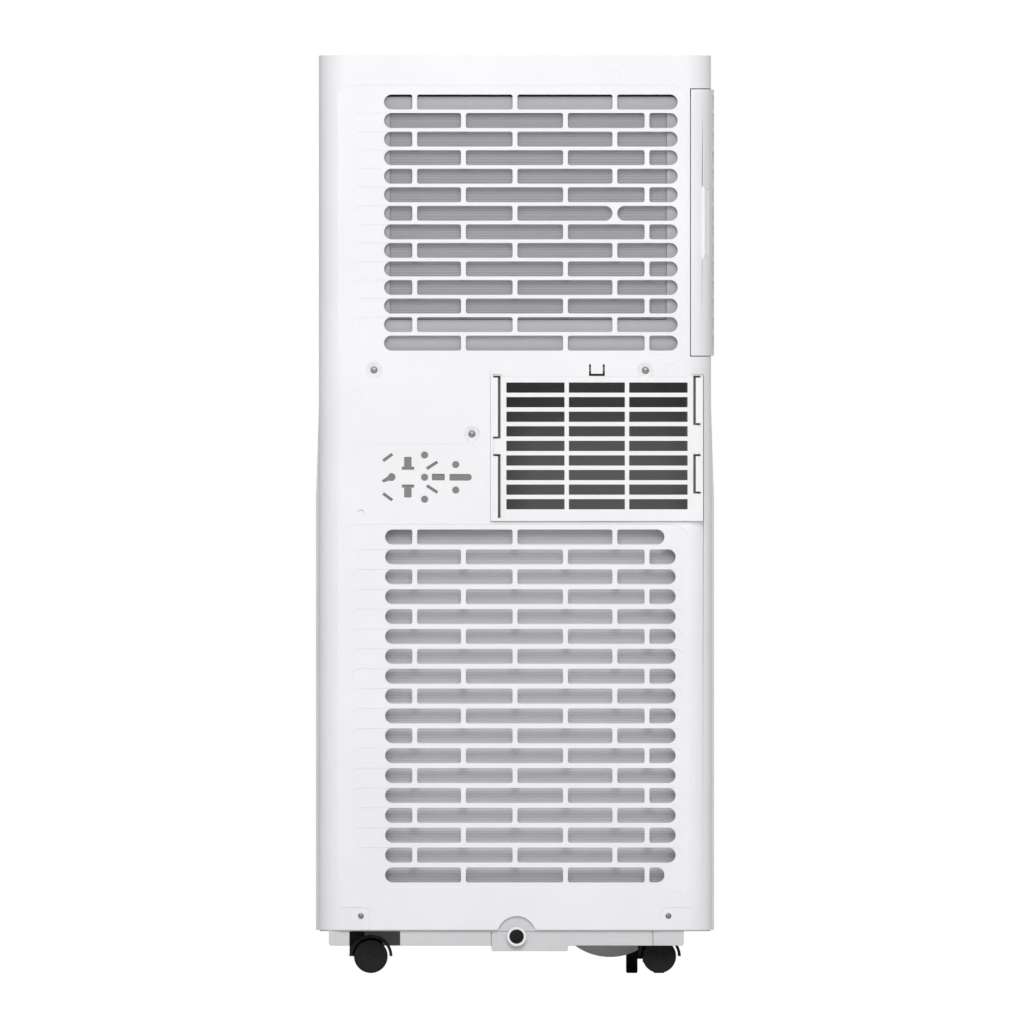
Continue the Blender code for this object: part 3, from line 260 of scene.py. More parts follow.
# Materials: every one is procedural.
def plastic(name, colour, roughness, grain=0.00004, scale=1800.0, spread=0.02, coat=0.0):
    """Moulded plastic: a fine grain in the surface, with a slight drift of tone and gloss over it."""
    material = bpy.data.materials.new(name)
    material.use_nodes = True
    nodes = material.node_tree.nodes
    links = material.node_tree.links
    surface = nodes["Principled BSDF"]
    place = nodes.new("ShaderNodeTexCoord")
    drift = nodes.new("ShaderNodeTexNoise")
    drift.inputs["Scale"].default_value = 14.0
    drift.inputs["Detail"].default_value = 3.0
    links.new(place.outputs["Object"], drift.inputs["Vector"])
    tone = nodes.new("ShaderNodeValToRGB")
    tone.color_ramp.elements[0].position = 0.3
    tone.color_ramp.elements[1].position = 0.7
    tone.color_ramp.elements[0].color = (*[value * (1 - spread) for value in colour], 1)
    tone.color_ramp.elements[1].color = (*[min(1.0, value * (1 + spread)) for value in colour], 1)
    links.new(drift.outputs["Fac"], tone.inputs["Fac"])
    links.new(tone.outputs["Color"], surface.inputs["Base Color"])
    gloss = nodes.new("ShaderNodeMapRange")
    gloss.inputs["To Min"].default_value = roughness - 0.03
    gloss.inputs["To Max"].default_value = roughness + 0.03
    links.new(drift.outputs["Fac"], gloss.inputs["Value"])
    links.new(gloss.outputs["Result"], surface.inputs["Roughness"])
    fine = nodes.new("ShaderNodeTexNoise")
    fine.inputs["Scale"].default_value = scale
    fine.inputs["Detail"].default_value = 2.0
    links.new(place.outputs["Object"], fine.inputs["Vector"])
    bump = nodes.new("ShaderNodeBump")
    bump.inputs["Strength"].default_value = 0.35
    bump.inputs["Distance"].default_value = grain
    links.new(fine.outputs["Fac"], bump.inputs["Height"])
    links.new(bump.outputs["Normal"], surface.inputs["Normal"])
    surface.inputs["Coat Weight"].default_value = coat
    return material


def metal(name, colour, roughness, brushed=(1.0, 1.0, 40.0)):
    """Bare metal: drawn streaks in its tone and gloss."""
    material = plastic(name, colour, roughness, 0.00002, 900.0, 0.06)
    nodes = material.node_tree.nodes
    links = material.node_tree.links
    surface = nodes["Principled BSDF"]
    surface.inputs["Metallic"].default_value = 1.0
    place = nodes.new("ShaderNodeTexCoord")
    stretch = nodes.new("ShaderNodeMapping")
    stretch.inputs["Scale"].default_value = brushed
    streak = nodes.new("ShaderNodeTexNoise")
    streak.inputs["Scale"].default_value = 30.0
    gloss = nodes.new("ShaderNodeMapRange")
    gloss.inputs["To Min"].default_value = roughness - 0.08
    gloss.inputs["To Max"].default_value = roughness + 0.10
    links.new(place.outputs["Object"], stretch.inputs["Vector"])
    links.new(stretch.outputs["Vector"], streak.inputs["Vector"])
    links.new(streak.outputs["Fac"], gloss.inputs["Value"])
    links.new(gloss.outputs["Result"], surface.inputs["Roughness"])
    return material


def striped(name, dark, light, pitch, axis, roughness, metallic=0.0, depth=0.0003):
    """Fins or threads: fine lines along one axis, in tone and in relief."""
    material = plastic(name, light, roughness, 0.00002, 1200.0, 0.03)
    nodes = material.node_tree.nodes
    links = material.node_tree.links
    surface = nodes["Principled BSDF"]
    surface.inputs["Metallic"].default_value = metallic
    place = nodes.new("ShaderNodeTexCoord")
    lines = nodes.new("ShaderNodeTexWave")
    lines.bands_direction = axis
    lines.inputs["Scale"].default_value = math.pi / (10 * pitch)
    lines.inputs["Distortion"].default_value = 0.15
    wander = nodes.new("ShaderNodeTexNoise")
    wander.inputs["Scale"].default_value = 9.0
    wander.inputs["Detail"].default_value = 4.0
    share = nodes.new("ShaderNodeMath")
    share.operation = "MULTIPLY"
    ramp = nodes.new("ShaderNodeValToRGB")
    ramp.color_ramp.elements[0].color = (*dark, 1)
    ramp.color_ramp.elements[1].color = (*light, 1)
    ramp.color_ramp.elements[1].position = 0.55
    links.new(place.outputs["Object"], lines.inputs["Vector"])
    links.new(place.outputs["Object"], wander.inputs["Vector"])
    links.new(lines.outputs["Fac"], share.inputs[0])
    links.new(wander.outputs["Fac"], share.inputs[1])
    links.new(share.outputs["Value"], ramp.inputs["Fac"])
    links.new(ramp.outputs["Color"], surface.inputs["Base Color"])
    bump = nodes.new("ShaderNodeBump")
    bump.inputs["Strength"].default_value = 0.6
    bump.inputs["Distance"].default_value = depth
    links.new(lines.outputs["Fac"], bump.inputs["Height"])
    links.new(bump.outputs["Normal"], surface.inputs["Normal"])
    return material


CASING = plastic("casing_white", (0.87, 0.87, 0.885), 0.45)
FRAME = plastic("frame_white", (0.88, 0.88, 0.89), 0.42)
PAN = plastic("pan_white", (0.66, 0.66, 0.67), 0.46)
INNER = plastic("inner_grey", (0.23, 0.23, 0.232), 0.6)
# Painted shade: a dark grey for pieces that stand in for the shadow in the caster's pocket and deep in the
# drain's bore.
PAINTED_SHADE = plastic("painted_shade_grey", (0.28, 0.28, 0.282), 0.7)
FILTER_FRAME = plastic("filter_frame_grey", (0.46, 0.46, 0.475), 0.5)
CASTER = plastic("caster_black", (0.006, 0.006, 0.0065), 0.55, 0.00005, 1400.0, 0.15)
CASTER.node_tree.nodes["Principled BSDF"].inputs["Specular IOR Level"].default_value = 0.22
BLACK = plastic("moulded_black", (0.02, 0.02, 0.021), 0.35, 0.00003, 1400.0, 0.1)
ENAMEL = plastic("black_enamel", (0.012, 0.012, 0.013), 0.28, 0.00006, 700.0, 0.1, 0.4)
PANEL = plastic("panel_grey", (0.20, 0.205, 0.215), 0.22, 0.00001, 1500.0, 0.04, 0.6)
LENS = plastic("lens_black", (0.006, 0.006, 0.008), 0.06, 0.000002, 900.0, 0.1, 1.0)
BOARD = plastic("board_green", (0.02, 0.11, 0.05), 0.4, 0.00008, 420.0, 0.2)
NET = striped("filter_net", (0.32, 0.322, 0.334), (0.38, 0.382, 0.396), 0.0021, "Z", 0.6, 0.0, 0.00008)
FINS = striped("coil_fins", (0.53, 0.532, 0.545), (0.60, 0.602, 0.618), 0.0021, "Z", 0.5, 0.0, 0.00008)
STEEL = metal("galvanised", (0.55, 0.56, 0.58), 0.38)
SCREW = metal("screw_zinc", (0.32, 0.32, 0.33), 0.35)
COPPER = metal("copper", (0.72, 0.36, 0.20), 0.3)

DRESS = {
    CASING: ("front_shell", "top_cover", "filter_door", "rear_shell", "grip_cup_left", "grip_cup_right"),
    FRAME: ("exhaust_grille", "drain_spout", "vane_1", "vane_2", "vane_3", "vane_4",
            "button_1", "button_2", "button_3", "button_4", "button_5"),
    PAN: ("base_pan",),
    INNER: ("mid_deck", "condensate_tray", "evaporator_scroll", "condenser_scroll", "evaporator_fan",
            "condenser_fan", "supply_duct", "exhaust_duct", "outlet_housing", "vane_link"),
    FILTER_FRAME: ("filter_frame",),
    NET: ("filter_mesh",),
    FINS: ("evaporator_coil", "condenser_coil"),
    STEEL: ("evaporator_motor", "condenser_motor", "swing_motor", "run_capacitor"),
    SCREW: ("screw_upper_1", "screw_upper_2", "screw_exhaust", "screw_foot_1", "screw_foot_2"),
    COPPER: ("evaporator_tubes", "condenser_tubes", "discharge_pipe", "suction_pipe", "capillary_tube"),
    ENAMEL: ("compressor", "accumulator"),
    BLACK: ("electric_box",),
    PANEL: ("control_panel",),
    LENS: ("display_lens",),
    BOARD: ("control_board",),
}
for material, names in DRESS.items():
    for name in names:
        NODES[name].data.materials.clear()
        NODES[name].data.materials.append(material)


# The rear half of the casing.
def rear_path(inset, steps=24):
    radius = REAR_CORNER - inset
    left = arc((-HALF + REAR_CORNER, REAR - REAR_CORNER), radius, 180, 90, steps)
    right = arc((HALF - REAR_CORNER, REAR - REAR_CORNER), radius, 90, 0, steps)
    return [(-HALF + inset, SPLIT)] + left + right + [(HALF - inset, SPLIT)]


def pocket(outline, depth):
    return prism(outline, REAR - depth, REAR + PROUD, "Y")


def through(outline):
    return prism(outline, REAR - THROUGH, REAR + PROUD, "Y")


def slot_row(centre, low, high, ribs, full_at=None):
    """One row of slots between its ribs; full_at is an inner edge that is fully round as well."""
    edges = [low]
    for rib in ribs:
        edges += [rib - RIB / 2, rib + RIB / 2]
    edges.append(high)
    solids = []
    for index in range(0, len(edges), 2):
        start, end = edges[index], edges[index + 1]
        low_radius = FULL_ROUND if index == 0 or full_at == start else SLOT_CORNER
        high_radius = FULL_ROUND if index == len(edges) - 2 or full_at == end else SLOT_CORNER
        solids.append(through(slot(start, end, centre, SLOT, low_radius, high_radius)))
    return solids


def grille():
    """Both fields of slots; in the seventh upper row both sides of one rib are fully round."""
    solids = []
    for number, centre in enumerate(UPPER_ROWS):
        ribs = EVEN_RIBS if number % 2 else ODD_RIBS
        if number == 6:
            row = slot_row(centre, SPAN_LOW, SPAN_HIGH, ribs, ribs[0] + RIB / 2)
            row[0].free()
            row[0] = through(slot(SPAN_LOW, ribs[0] - RIB / 2, centre, SLOT, FULL_ROUND, FULL_ROUND))
        else:
            row = slot_row(centre, SPAN_LOW, SPAN_HIGH, ribs)
        solids += row
    for number, centre in enumerate(LOWER_ROWS):
        ribs = EVEN_RIBS if number % 2 else ODD_RIBS
        low = -0.1107 if number in (0, 17) else -0.1190
        solids += slot_row(centre, low, SPAN_HIGH - 0.0008, ribs)
    return solids


def row_pockets():
    """Each row but the first and last of a field runs on in a shallow pocket at its end."""
    depth = 0.0011
    inner_corner = 0.001
    solids = []
    for centre in UPPER_ROWS[1:13]:
        solids.append(pocket(slot(0.0880, 0.1207, centre, SLOT, inner_corner, FULL_ROUND), depth))
    for centre in LOWER_ROWS[1:17]:
        solids.append(pocket(slot(0.0880, 0.1207, centre, SLOT, inner_corner, FULL_ROUND), depth))
        solids.append(pocket(slot(-0.1242, -0.1100, centre, SLOT, FULL_ROUND, inner_corner), depth))
    return solids


def parking_pockets():
    """Blind pockets that hold the pins of a mains plug while the unit is put away."""
    depth = 0.0040
    solids = []
    for side in (1, -1):
        z = 0.3674
        for x, up, degrees, length in ((0.0943, 0.0146, -36, 0.0084), (0.0614, 0.0088, -33, 0.0093)):
            bar = rectangle(-length / 2, length / 2, -0.0011, 0.0011)
            solids.append(pocket(turned_outline(bar, (x, z + side * up), side * degrees), depth))
        tee = [
            (0.0748, z + side * 0.0055), (0.0839, z + side * 0.0055), (0.0839, z + side * 0.0077),
            (0.0821, z + side * 0.0077), (0.0821, z + side * 0.0150), (0.0767, z + side * 0.0150),
            (0.0767, z + side * 0.0077), (0.0748, z + side * 0.0077),
        ]
        solids.append(pocket(tee, depth))
    for x, z in ((0.0670, 0.3838), (0.0670, 0.3673), (0.0670, 0.3510), (0.0439, 0.3767), (0.0439, 0.3578)):
        profile = [(0, REAR - depth), (0.0025, REAR - depth), (0.0026, REAR - 0.0009)]
        profile += [(0.0040, REAR - 0.0003), (0.0040, REAR + 0.001), (0, REAR + 0.001)]
        solids.append(turned(profile, (x, 0, z), "Y", 32))
    solids.append(pocket(rounded(0.0521, 0.0615, 0.3651, 0.3699, 0.0003, 3), depth))
    solids.append(pocket(slot(0.0321, 0.0485, 0.3673, 0.0048, 0.0023, 0.0006), depth))
    return solids


def heart_pocket():
    x, z = 0.0915, 0.3675
    outline = arc((x, z), 0.0029, 60, 300, 18)
    outline += [(x + 0.0062, z - 0.0040), (x + 0.0071, z - 0.0024), (x + 0.0030, z + 0.0003)]
    return [pocket(outline, 0.0040)]


def screw_well(x, z):
    """A countersunk hole for a screw."""
    bore, mouth = 0.0025, 0.0059
    profile = [(0, REAR - THROUGH), (bore, REAR - THROUGH), (bore, REAR - 0.0020)]
    profile += [(mouth, REAR - 0.0001), (mouth, REAR + 0.001), (0, REAR + 0.001)]
    return turned(profile, (x, 0, z), "Y", 40)


WELLS = {
    "screw_upper_1": (0.1045, 0.4468),
    "screw_upper_2": (-0.0967, 0.4465),
    "screw_exhaust": (0.0319, 0.3994),
}
FEET = {"screw_foot_1": (0.11415, 0.0422), "screw_foot_2": (-0.11375, 0.0422)}


def latch():
    """The slit on three sides of a sprung tab over the exhaust frame."""
    outer = (-0.0665, -0.0549)
    inner = (-0.0651, -0.0563)
    bottom, tab, top = 0.4424, 0.4440, 0.4510
    outline = [(outer[0], bottom), (outer[1], bottom), (outer[1], top), (inner[1], top)]
    outline += [(inner[1], tab), (inner[0], tab), (inner[0], top), (outer[0], top)]
    return [through(outline)]


def foot_recesses():
    solids = []
    for low, high in ((0.1077, 0.1375), (-0.1367, -0.1074)):
        outline = rounded(low, high, BOTTOM - 0.010, 0.0485, 0.0055, 8)
        solids.append(prism(outline, REAR - 0.0007, REAR + 0.002, "Y"))
    return solids


GUARD_LEFT = 0.0095
GUARD_RIGHT = -0.1310


def stepped_top(low, high, bottom, top, middle_top):
    """The port's outline: the rails at its two sides start a little above the guard between them."""
    return [
        (low, bottom), (high, bottom), (high, top), (GUARD_LEFT, top), (GUARD_LEFT, middle_top),
        (GUARD_RIGHT, middle_top), (GUARD_RIGHT, top), (low, top),
    ]


def rear_casing():
    wall = rear_path(0) + list(reversed(rear_path(WALL)))
    steps = [("DIFFERENCE", [
        pocket(rounded(-0.1275, 0.1320, 0.4557, 0.6580, 0.012, 10), 0.0006),
        pocket(rounded(-0.1303, 0.1320, 0.0634, 0.3326, 0.016, 10), 0.0006),
        pocket(rounded(0.0268, 0.1092, 0.3438, 0.3923, 0.009, 10), 0.0004),
    ])]
    steps.append(("DIFFERENCE", row_pockets()))
    steps.append(("DIFFERENCE", foot_recesses()))
    steps.append(("DIFFERENCE", [screw_well(*place) for place in WELLS.values()]))
    exhaust = prism(stepped_top(-0.1396, 0.0181, 0.3346, 0.4434, 0.4418), REAR - 0.02, REAR + 0.01, "Y")
    door = box((-0.20, 0.0355, 0.4568), (-0.12975, 0.20, 0.6555))
    arch = cylinder((-0.0012, 0, 0.0278), "Y", 0.0144, REAR - 0.004, REAR + 0.002, 64)
    holes = grille() + parking_pockets() + heart_pocket() + [exhaust, door, arch]
    for x, z in FEET.values():
        holes.append(cylinder((x, 0, z), "Y", 0.0021, REAR - 0.004, REAR + 0.001, 24))
    holes.append(cylinder((0.1141, 0, 0.3409), "Y", 0.0026, REAR - 0.002, REAR + 0.001, 24))
    steps.append(("DIFFERENCE", holes))
    steps.append(("DIFFERENCE", latch()))
    gates = []
    for x, z in ((-0.0734, 0.6647), (-0.1156, 0.4468), (0.1178, 0.4276), (-0.1186, 0.0563)):
        gates.append(cylinder((x, 0, z), "Y", 0.0045, REAR - 0.00025, REAR + 0.001, 31))
    steps.append(("DIFFERENCE", gates))
    piece("rear_casing", CASING, prism(wall, BOTTOM, TOP), "casing", ["rear_shell"], steps, 0.00018)
    backing = prism(rounded(0.0275, 0.1085, 0.3445, 0.3915, 0.008), REAR - 0.0045, REAR - 0.0021, "Y")
    piece("parking_backing", INNER, backing, "casing", (), (), 0.0003)


# The exhaust port, whose side rails take the hose adapter.
PORT = (-0.1393, 0.0180)
PORT_BOTTOM = 0.3349
PORT_TOP = 0.4431
RAIL = (-0.1377, 0.0163)
LIP = (-0.1340, 0.0127)
SLIT = (-0.1321, 0.0107)
ARM = 0.0015
THIN_ARM = 0.0014
PORT_FACE = REAR - 0.0005
PORT_BACK = REAR - 0.012
LIP_UNDER = BACKMOST - 0.0015
LIP_CUT = BACKMOST - 0.002
OVER = BACKMOST + 0.001
SKIN = 0.002


def port_room():
    """What is taken out of the port's block, step by step."""
    above = PORT_TOP + 0.01
    face_low = 0.3369
    arms = (0.4412, 0.4426)
    behind = PORT_FACE - SKIN
    return [
        prism(rectangle(*LIP, face_low, above), PORT_FACE, OVER, "Y"),
        prism(rectangle(*RAIL, face_low, above), PORT_FACE, LIP_UNDER, "Y"),
        prism(rectangle(*RAIL, 0.3830, 0.3975), LIP_CUT, OVER, "Y"),
        prism(rectangle(RAIL[0], -0.08, 0.3900, 0.4075), LIP_CUT, OVER, "Y"),
        prism(rectangle(RAIL[0], -0.08, 0.3370, 0.3568), LIP_CUT, OVER, "Y"),
        prism(rectangle(-0.1368, 0.0153, PORT_BOTTOM + 0.0025, PORT_TOP - 0.0025), PORT_BACK, behind, "Y"),
        prism(rectangle(GUARD_RIGHT, GUARD_LEFT, PORT_TOP - 0.0008, above), PORT_BACK, OVER, "Y"),
        prism(rectangle(-0.1368, -0.1312, 0.4390, 0.4428), PORT_BACK, behind, "Y"),
        prism(rectangle(0.0097, 0.0153, 0.4390, 0.4428), PORT_BACK, behind, "Y"),
        prism(rectangle(RAIL[0], -0.1300, *arms), LIP_CUT, OVER, "Y"),
        prism(rectangle(0.0087, RAIL[1], *arms), LIP_CUT, OVER, "Y"),
    ]


def port_trim():
    """The raised foot of the right rail, and the small fin over the left one."""
    foot = [(-0.1303, 0.3360), (-0.1303, 0.3520), (-0.1325, 0.3520)]
    foot += [(-0.1325, 0.3552), (-0.1384, 0.3552), (-0.1384, 0.3360)]
    fin = [(0.0166, 0.4425), (0.0177, 0.4425), (0.0195, 0.4478), (0.0187, 0.4478)]
    return [
        prism(foot, PORT_FACE - 0.001, PORT_FACE + 0.0012, "Y"),
        prism(fin, REAR - 0.001, REAR + 0.0016, "Y"),
    ]


def bracket(slit, lip, end, bottom, top, arm_low, arm_high):
    """A slit beside a rail, with an arm towards the rail at its foot, its head or both."""
    outline = [(slit, bottom), (end if arm_low else lip, bottom)]
    if arm_low:
        outline += [(end, bottom + arm_low), (lip, bottom + arm_low)]
    if arm_high:
        outline += [(lip, top - arm_high), (end, top - arm_high)]
    outline += [(end if arm_high else lip, top), (slit, top)]
    return prism(outline, PORT_FACE - 0.004, PORT_FACE + 0.0001, "Y")


def port_slits():
    left = (SLIT[1], LIP[1], 0.0163)
    right = (SLIT[0], LIP[0], -0.1376)
    return [
        bracket(*left, 0.3372, 0.3845, 0, ARM),
        bracket(*left, 0.3961, 0.4426, THIN_ARM, THIN_ARM),
        bracket(*right, 0.3553, 0.3845, ARM, ARM),
        bracket(*right, 0.4061, 0.4426, THIN_ARM, THIN_ARM),
    ]


def port_guard():
    """Nine rows of three openings."""
    half = 0.0038
    solids = []
    for row in range(9):
        centre = 0.4338 - 0.0108 * row
        for start, end in ((-0.0367, 0.0064), (-0.0814, -0.0399), (-0.1279, -0.0846)):
            outline = rounded(start, end, centre - half, centre + half, 0.0004, 3)
            solids.append(prism(outline, PORT_FACE - 0.004, PORT_FACE + 0.001, "Y"))
    return solids


def exhaust_frame():
    solid = prism(rectangle(*PORT, PORT_BOTTOM, PORT_TOP), REAR - 0.0105, BACKMOST, "Y")
    steps = [("DIFFERENCE", [room]) for room in port_room()]
    steps += [("UNION", [trim]) for trim in port_trim()]
    steps += [("DIFFERENCE", port_guard()), ("DIFFERENCE", port_slits())]
    piece("exhaust_frame", FRAME, solid, "casing", ["exhaust_grille"], steps, 0,
          tidy=False)
    for side, (start, end) in (("right", (-0.1367, -0.1313)), ("left", (0.0098, 0.0152))):
        lining = prism(rectangle(start, end, 0.3376, 0.4427), REAR - 0.0075, REAR - 0.0065, "Y")
        piece(f"rail_lining_{side}", INNER, lining, "casing", (), (), 0)


# The filter drawer's cover, with a pinched ridge to pull it by.
def filter_cover():
    edge = -0.12975 - 0.0006
    centre = (-HALF + REAR_CORNER, REAR - REAR_CORNER)
    rims = []
    for inset in (0, WALL):
        end = math.degrees(math.acos((edge - centre[0]) / (REAR_CORNER - inset)))
        rims.append([(-WIDEST + inset, 0.0361)] + arc(centre, REAR_CORNER - inset, 180, end, 28))
    wall = rims[0] + list(reversed(rims[1]))
    solid = prism(wall, 0.4574, 0.6549)
    reach = (REAR_CORNER - 0.0004) * math.sqrt(0.5)
    corner = (centre[0] - reach, centre[1] + reach)
    outline = [(-0.0017, -0.0010), (0.0017, -0.0010), (0.0008, 0.0021), (-0.0008, 0.0021)]
    ridge = prism(turned_outline(outline, corner, 45), 0.5270, 0.5850)
    for corner_point in ridge.verts:
        away = abs(corner_point.co.z - 0.5560)
        outward = Vector((-1, 1, 0)).normalized()
        if away > 0.028 and (corner_point.co - Vector((*corner, corner_point.co.z))).dot(outward) > 0.001:
            corner_point.co.z += 0.0045 if corner_point.co.z < 0.5560 else -0.0045
    dent = rounded(-0.0070, -0.0019, -0.0008, 0.0020, 0.0007, 4)
    dimple = prism(turned_outline(dent, corner, 45), 0.5315, 0.5805)
    vents = []
    for row in UPPER_ROWS:
        vent = slot(0.0440, 0.0850, row, 0.0098, 0.0035, 0.0035)
        vents.append(prism(vent, -WIDEST - 0.002, -WIDEST + 0.008, "X"))
    steps = [("DIFFERENCE", [dimple]), ("UNION", [ridge]), ("DIFFERENCE", vents)]
    piece("filter_cover", CASING, solid, "filter_drawer", ["filter_door"], steps, 0.0003)


# The front half of the casing, which widens towards the floor.
def front_casing():
    rims = []
    for inset in (0, WALL):
        radius = FRONT_CORNER - inset
        half = WIDEST
        rim = [(-half + inset, SPLIT - GAP)]
        rim += arc((-half + FRONT_CORNER, FRONT + FRONT_CORNER), radius, 180, 270, 28)
        rim += arc((half - FRONT_CORNER, FRONT + FRONT_CORNER), radius, 270, 360, 28)
        rims.append(rim + [(half - inset, SPLIT - GAP)])
    solid = prism(rims[0] + list(reversed(rims[1])), BOTTOM, TOP)
    for height in (FLARE_FULL, FLARE_START):
        everything = solid.verts[:] + solid.edges[:] + solid.faces[:]
        bmesh.ops.bisect_plane(solid, geom=everything, plane_co=(0, 0, height), plane_no=(0, 0, 1))
    for corner in solid.verts:
        if corner.co.z > FLARE_START - 0.0001:
            corner.co.x -= math.copysign(WIDEST - HALF, corner.co.x)
    outlet = rounded(-0.104, 0.104, 0.582, 0.650, 0.006, 8)
    window = prism(outlet, FRONT - 0.01, FRONT + WALL + 0.001, "Y")
    grips = []
    for side in (1, -1):
        outline = rounded(-0.095, -0.010, 0.273, 0.342, 0.010, 8)
        grips.append(prism(outline, side * 0.140, side * 0.153, "X"))
    steps = [("DIFFERENCE", [window] + grips)]
    piece("front_casing", CASING, solid, "casing", ["front_shell"], steps, 0.0005, 3)


# Rolling base.
STEMS = {"rear_1": (0.1171, 0), "rear_2": (-0.0966, 0), "front_1": (0.1171, 0), "front_2": (-0.0966, -90)}
STEM_Y = {"rear_1": 0.1098, "rear_2": 0.1098, "front_1": -0.1098, "front_2": -0.1098}
WHEEL = 0.0125


def pan_outline(gap, half):
    inset = WALL + gap
    edge = SPLIT - 2 * GAP
    outline = arc((-half + FRONT_CORNER, FRONT + FRONT_CORNER), FRONT_CORNER - inset, 180, 270, 12)
    outline += arc((half - FRONT_CORNER, FRONT + FRONT_CORNER), FRONT_CORNER - inset, 270, 360, 12)
    outline += [(half - inset, edge), (HALF - inset, edge)]
    outline += arc((HALF - REAR_CORNER, REAR - REAR_CORNER), REAR_CORNER - inset, 0, 90, 12)
    outline += arc((-HALF + REAR_CORNER, REAR - REAR_CORNER), REAR_CORNER - inset, 90, 180, 12)
    return outline + [(-HALF + inset, edge), (-half + inset, edge)]


VALANCE_BACK = 0.1427
DRAIN = (-0.0012, 0.027)
DRAIN_BORE = 0.0053


def base_pan():
    solid = prism(pan_outline(GAP, WIDEST), 0.031, 0.044)
    tray = prism(pan_outline(GAP + 0.003, WIDEST - 0.002), 0.034, 0.046)
    seat = box((-0.1207, 0.107, 0.032), (0.1047, 0.131, 0.044))
    valance = prism(
        rounded(-0.1250, 0.1378, 0.0203, 0.0400, 0.0016, 6), VALANCE_BACK - 0.0025, VALANCE_BACK, "Y"
    )
    drain_box = box((-0.0390, VALANCE_BACK - 0.025, 0.0163), (0.0173, VALANCE_BACK, 0.0320))
    middle = -0.0704
    belly = arc((middle, 0.0559), 0.044, 234, 306, 28)
    belly = prism(belly + [(middle + 0.0259, 0.032), (middle - 0.0259, 0.032)], -0.020, 0.0785, "Y")
    notch = box((0.0852, VALANCE_BACK - 0.004, 0.0193), (0.1226, VALANCE_BACK + 0.001, 0.031))
    bore = cylinder(
        (DRAIN[0], 0, DRAIN[1]), "Y", DRAIN_BORE, VALANCE_BACK - 0.030, VALANCE_BACK + 0.001, 40
    )
    seams = []
    for start, end, depth in ((-0.1024, -0.1018, 0.0005), (0.0173, 0.0178, 0.0008)):
        line = rectangle(start, end, 0.019, 0.031)
        seams.append(prism(line, VALANCE_BACK - depth, VALANCE_BACK + 0.001, "Y"))
    steps = [("DIFFERENCE", [tray])]
    steps += [("UNION", [part]) for part in (seat, valance, drain_box, belly)]
    steps += [("DIFFERENCE", [notch, bore]), ("DIFFERENCE", seams)]
    piece("pan", PAN, solid, "casing", ["base_pan"], steps, 0.0006, 2)


def painted_shade_wall():
    """A wall of painted shade seen through the notch, clear of the caster's swing: its dark grey stands in
    for the shadow in the caster's pocket.
    """
    well = box((0.0830, 0.0790, 0.0203), (0.1250, 0.0802, 0.0345))
    piece("painted_shade_wall", PAINTED_SHADE, well, "casing", (), (), 0)


def drain_end():
    """A disc of painted shade past the inner end of the drain's bore: its dark grey stands in for the shadow
    deep in the bore.
    """
    start, end = VALANCE_BACK - 0.0256, VALANCE_BACK - 0.0243
    bottom = cylinder((DRAIN[0], 0, 0.0265), "Y", 0.0066, start, end, 40)
    piece("drain_painted_shade", PAINTED_SHADE, bottom, "casing", (), (), 0)


def drain_collar():
    profile = [(DRAIN_BORE, 0.1440), (0.0072, 0.1440), (0.0072, 0.1481)]
    profile += [(0.0068, 0.1485), (0.0058, 0.1485), (DRAIN_BORE, 0.1481)]
    collar = turned(profile, (DRAIN[0], 0, DRAIN[1]), "Y", 56)
    piece("drain_collar", FRAME, collar, "casing", ["drain_spout"], (), 0.0001)


def caster(name):
    """A hood that swivels on its stem, and the twin wheel on the hood's axle."""
    x, degrees = STEMS[name]
    y = STEM_Y[name]
    hub = (x - 0.0103, WHEEL)
    inner, outer = 0.0138, 0.0160
    half = 0.01435
    ring = arc(hub, outer, 0, 180, 40) + arc(hub, inner, 180, 0, 40)
    hood = spun(prism(ring, y - half, y + half, "Y"), x, y, degrees)
    web = arc(hub, inner + 0.001, 0, 130, 24) + arc(hub, 0.0045, 130, 360, 16)
    boss = [(x - 0.0056, 0.0190), (x + 0.0040, WHEEL), (x + 0.0055, WHEEL)]
    boss += [(x + 0.0055, 0.0307), (x - 0.0056, 0.0307)]
    axle = (hub[0], 0, hub[1])
    axle_bore = spun(cylinder(axle, "Y", 0.0023, y - 0.003, y + 0.003, 24), x, y, degrees)
    wheel_room = []
    for start, end in ((y - 0.02, y - 0.0054), (y + 0.0054, y + 0.02)):
        wheel_room.append(spun(cylinder(axle, "Y", inner, start, end, 64), x, y, degrees))
    steps = [
        ("UNION", [spun(prism(web, y - 0.0020, y + 0.0020, "Y"), x, y, degrees)]),
        ("UNION", [spun(prism(boss, y - 0.0056, y + 0.0056, "Y"), x, y, degrees)]),
        ("UNION", [cylinder((x, y, 0), "Z", 0.0040, 0.0300, 0.0340, 24)]),
        ("DIFFERENCE", [axle_bore]), ("DIFFERENCE", wheel_room),
    ]
    piece(f"hood_{name}", CASTER, hood, f"caster_{name}", [f"caster_hood_{name}"], steps, 0,
          tidy=False)
    rim = [
        (0, 0.01335), (0.0026, 0.01335), (0.0032, 0.01375), (0.0098, 0.01395), (0.0106, 0.01435),
        (0.0117, 0.01430), (0.0123, 0.0138), (WHEEL, 0.0131), (WHEEL, 0.0068), (0.0121, 0.0061),
        (0.0115, 0.0058), (0.0020, 0.0058),
    ]
    profile = [(radius, y - along) for radius, along in rim]
    profile += [(radius, y + along) for radius, along in reversed(rim)]
    wheels = spun(turned(profile, axle, "Y", 72), x, y, degrees)
    piece(f"wheels_{name}_fine", CASTER, wheels, f"wheels_{name}", [f"caster_wheels_{name}"], (), 0.0001, 1)


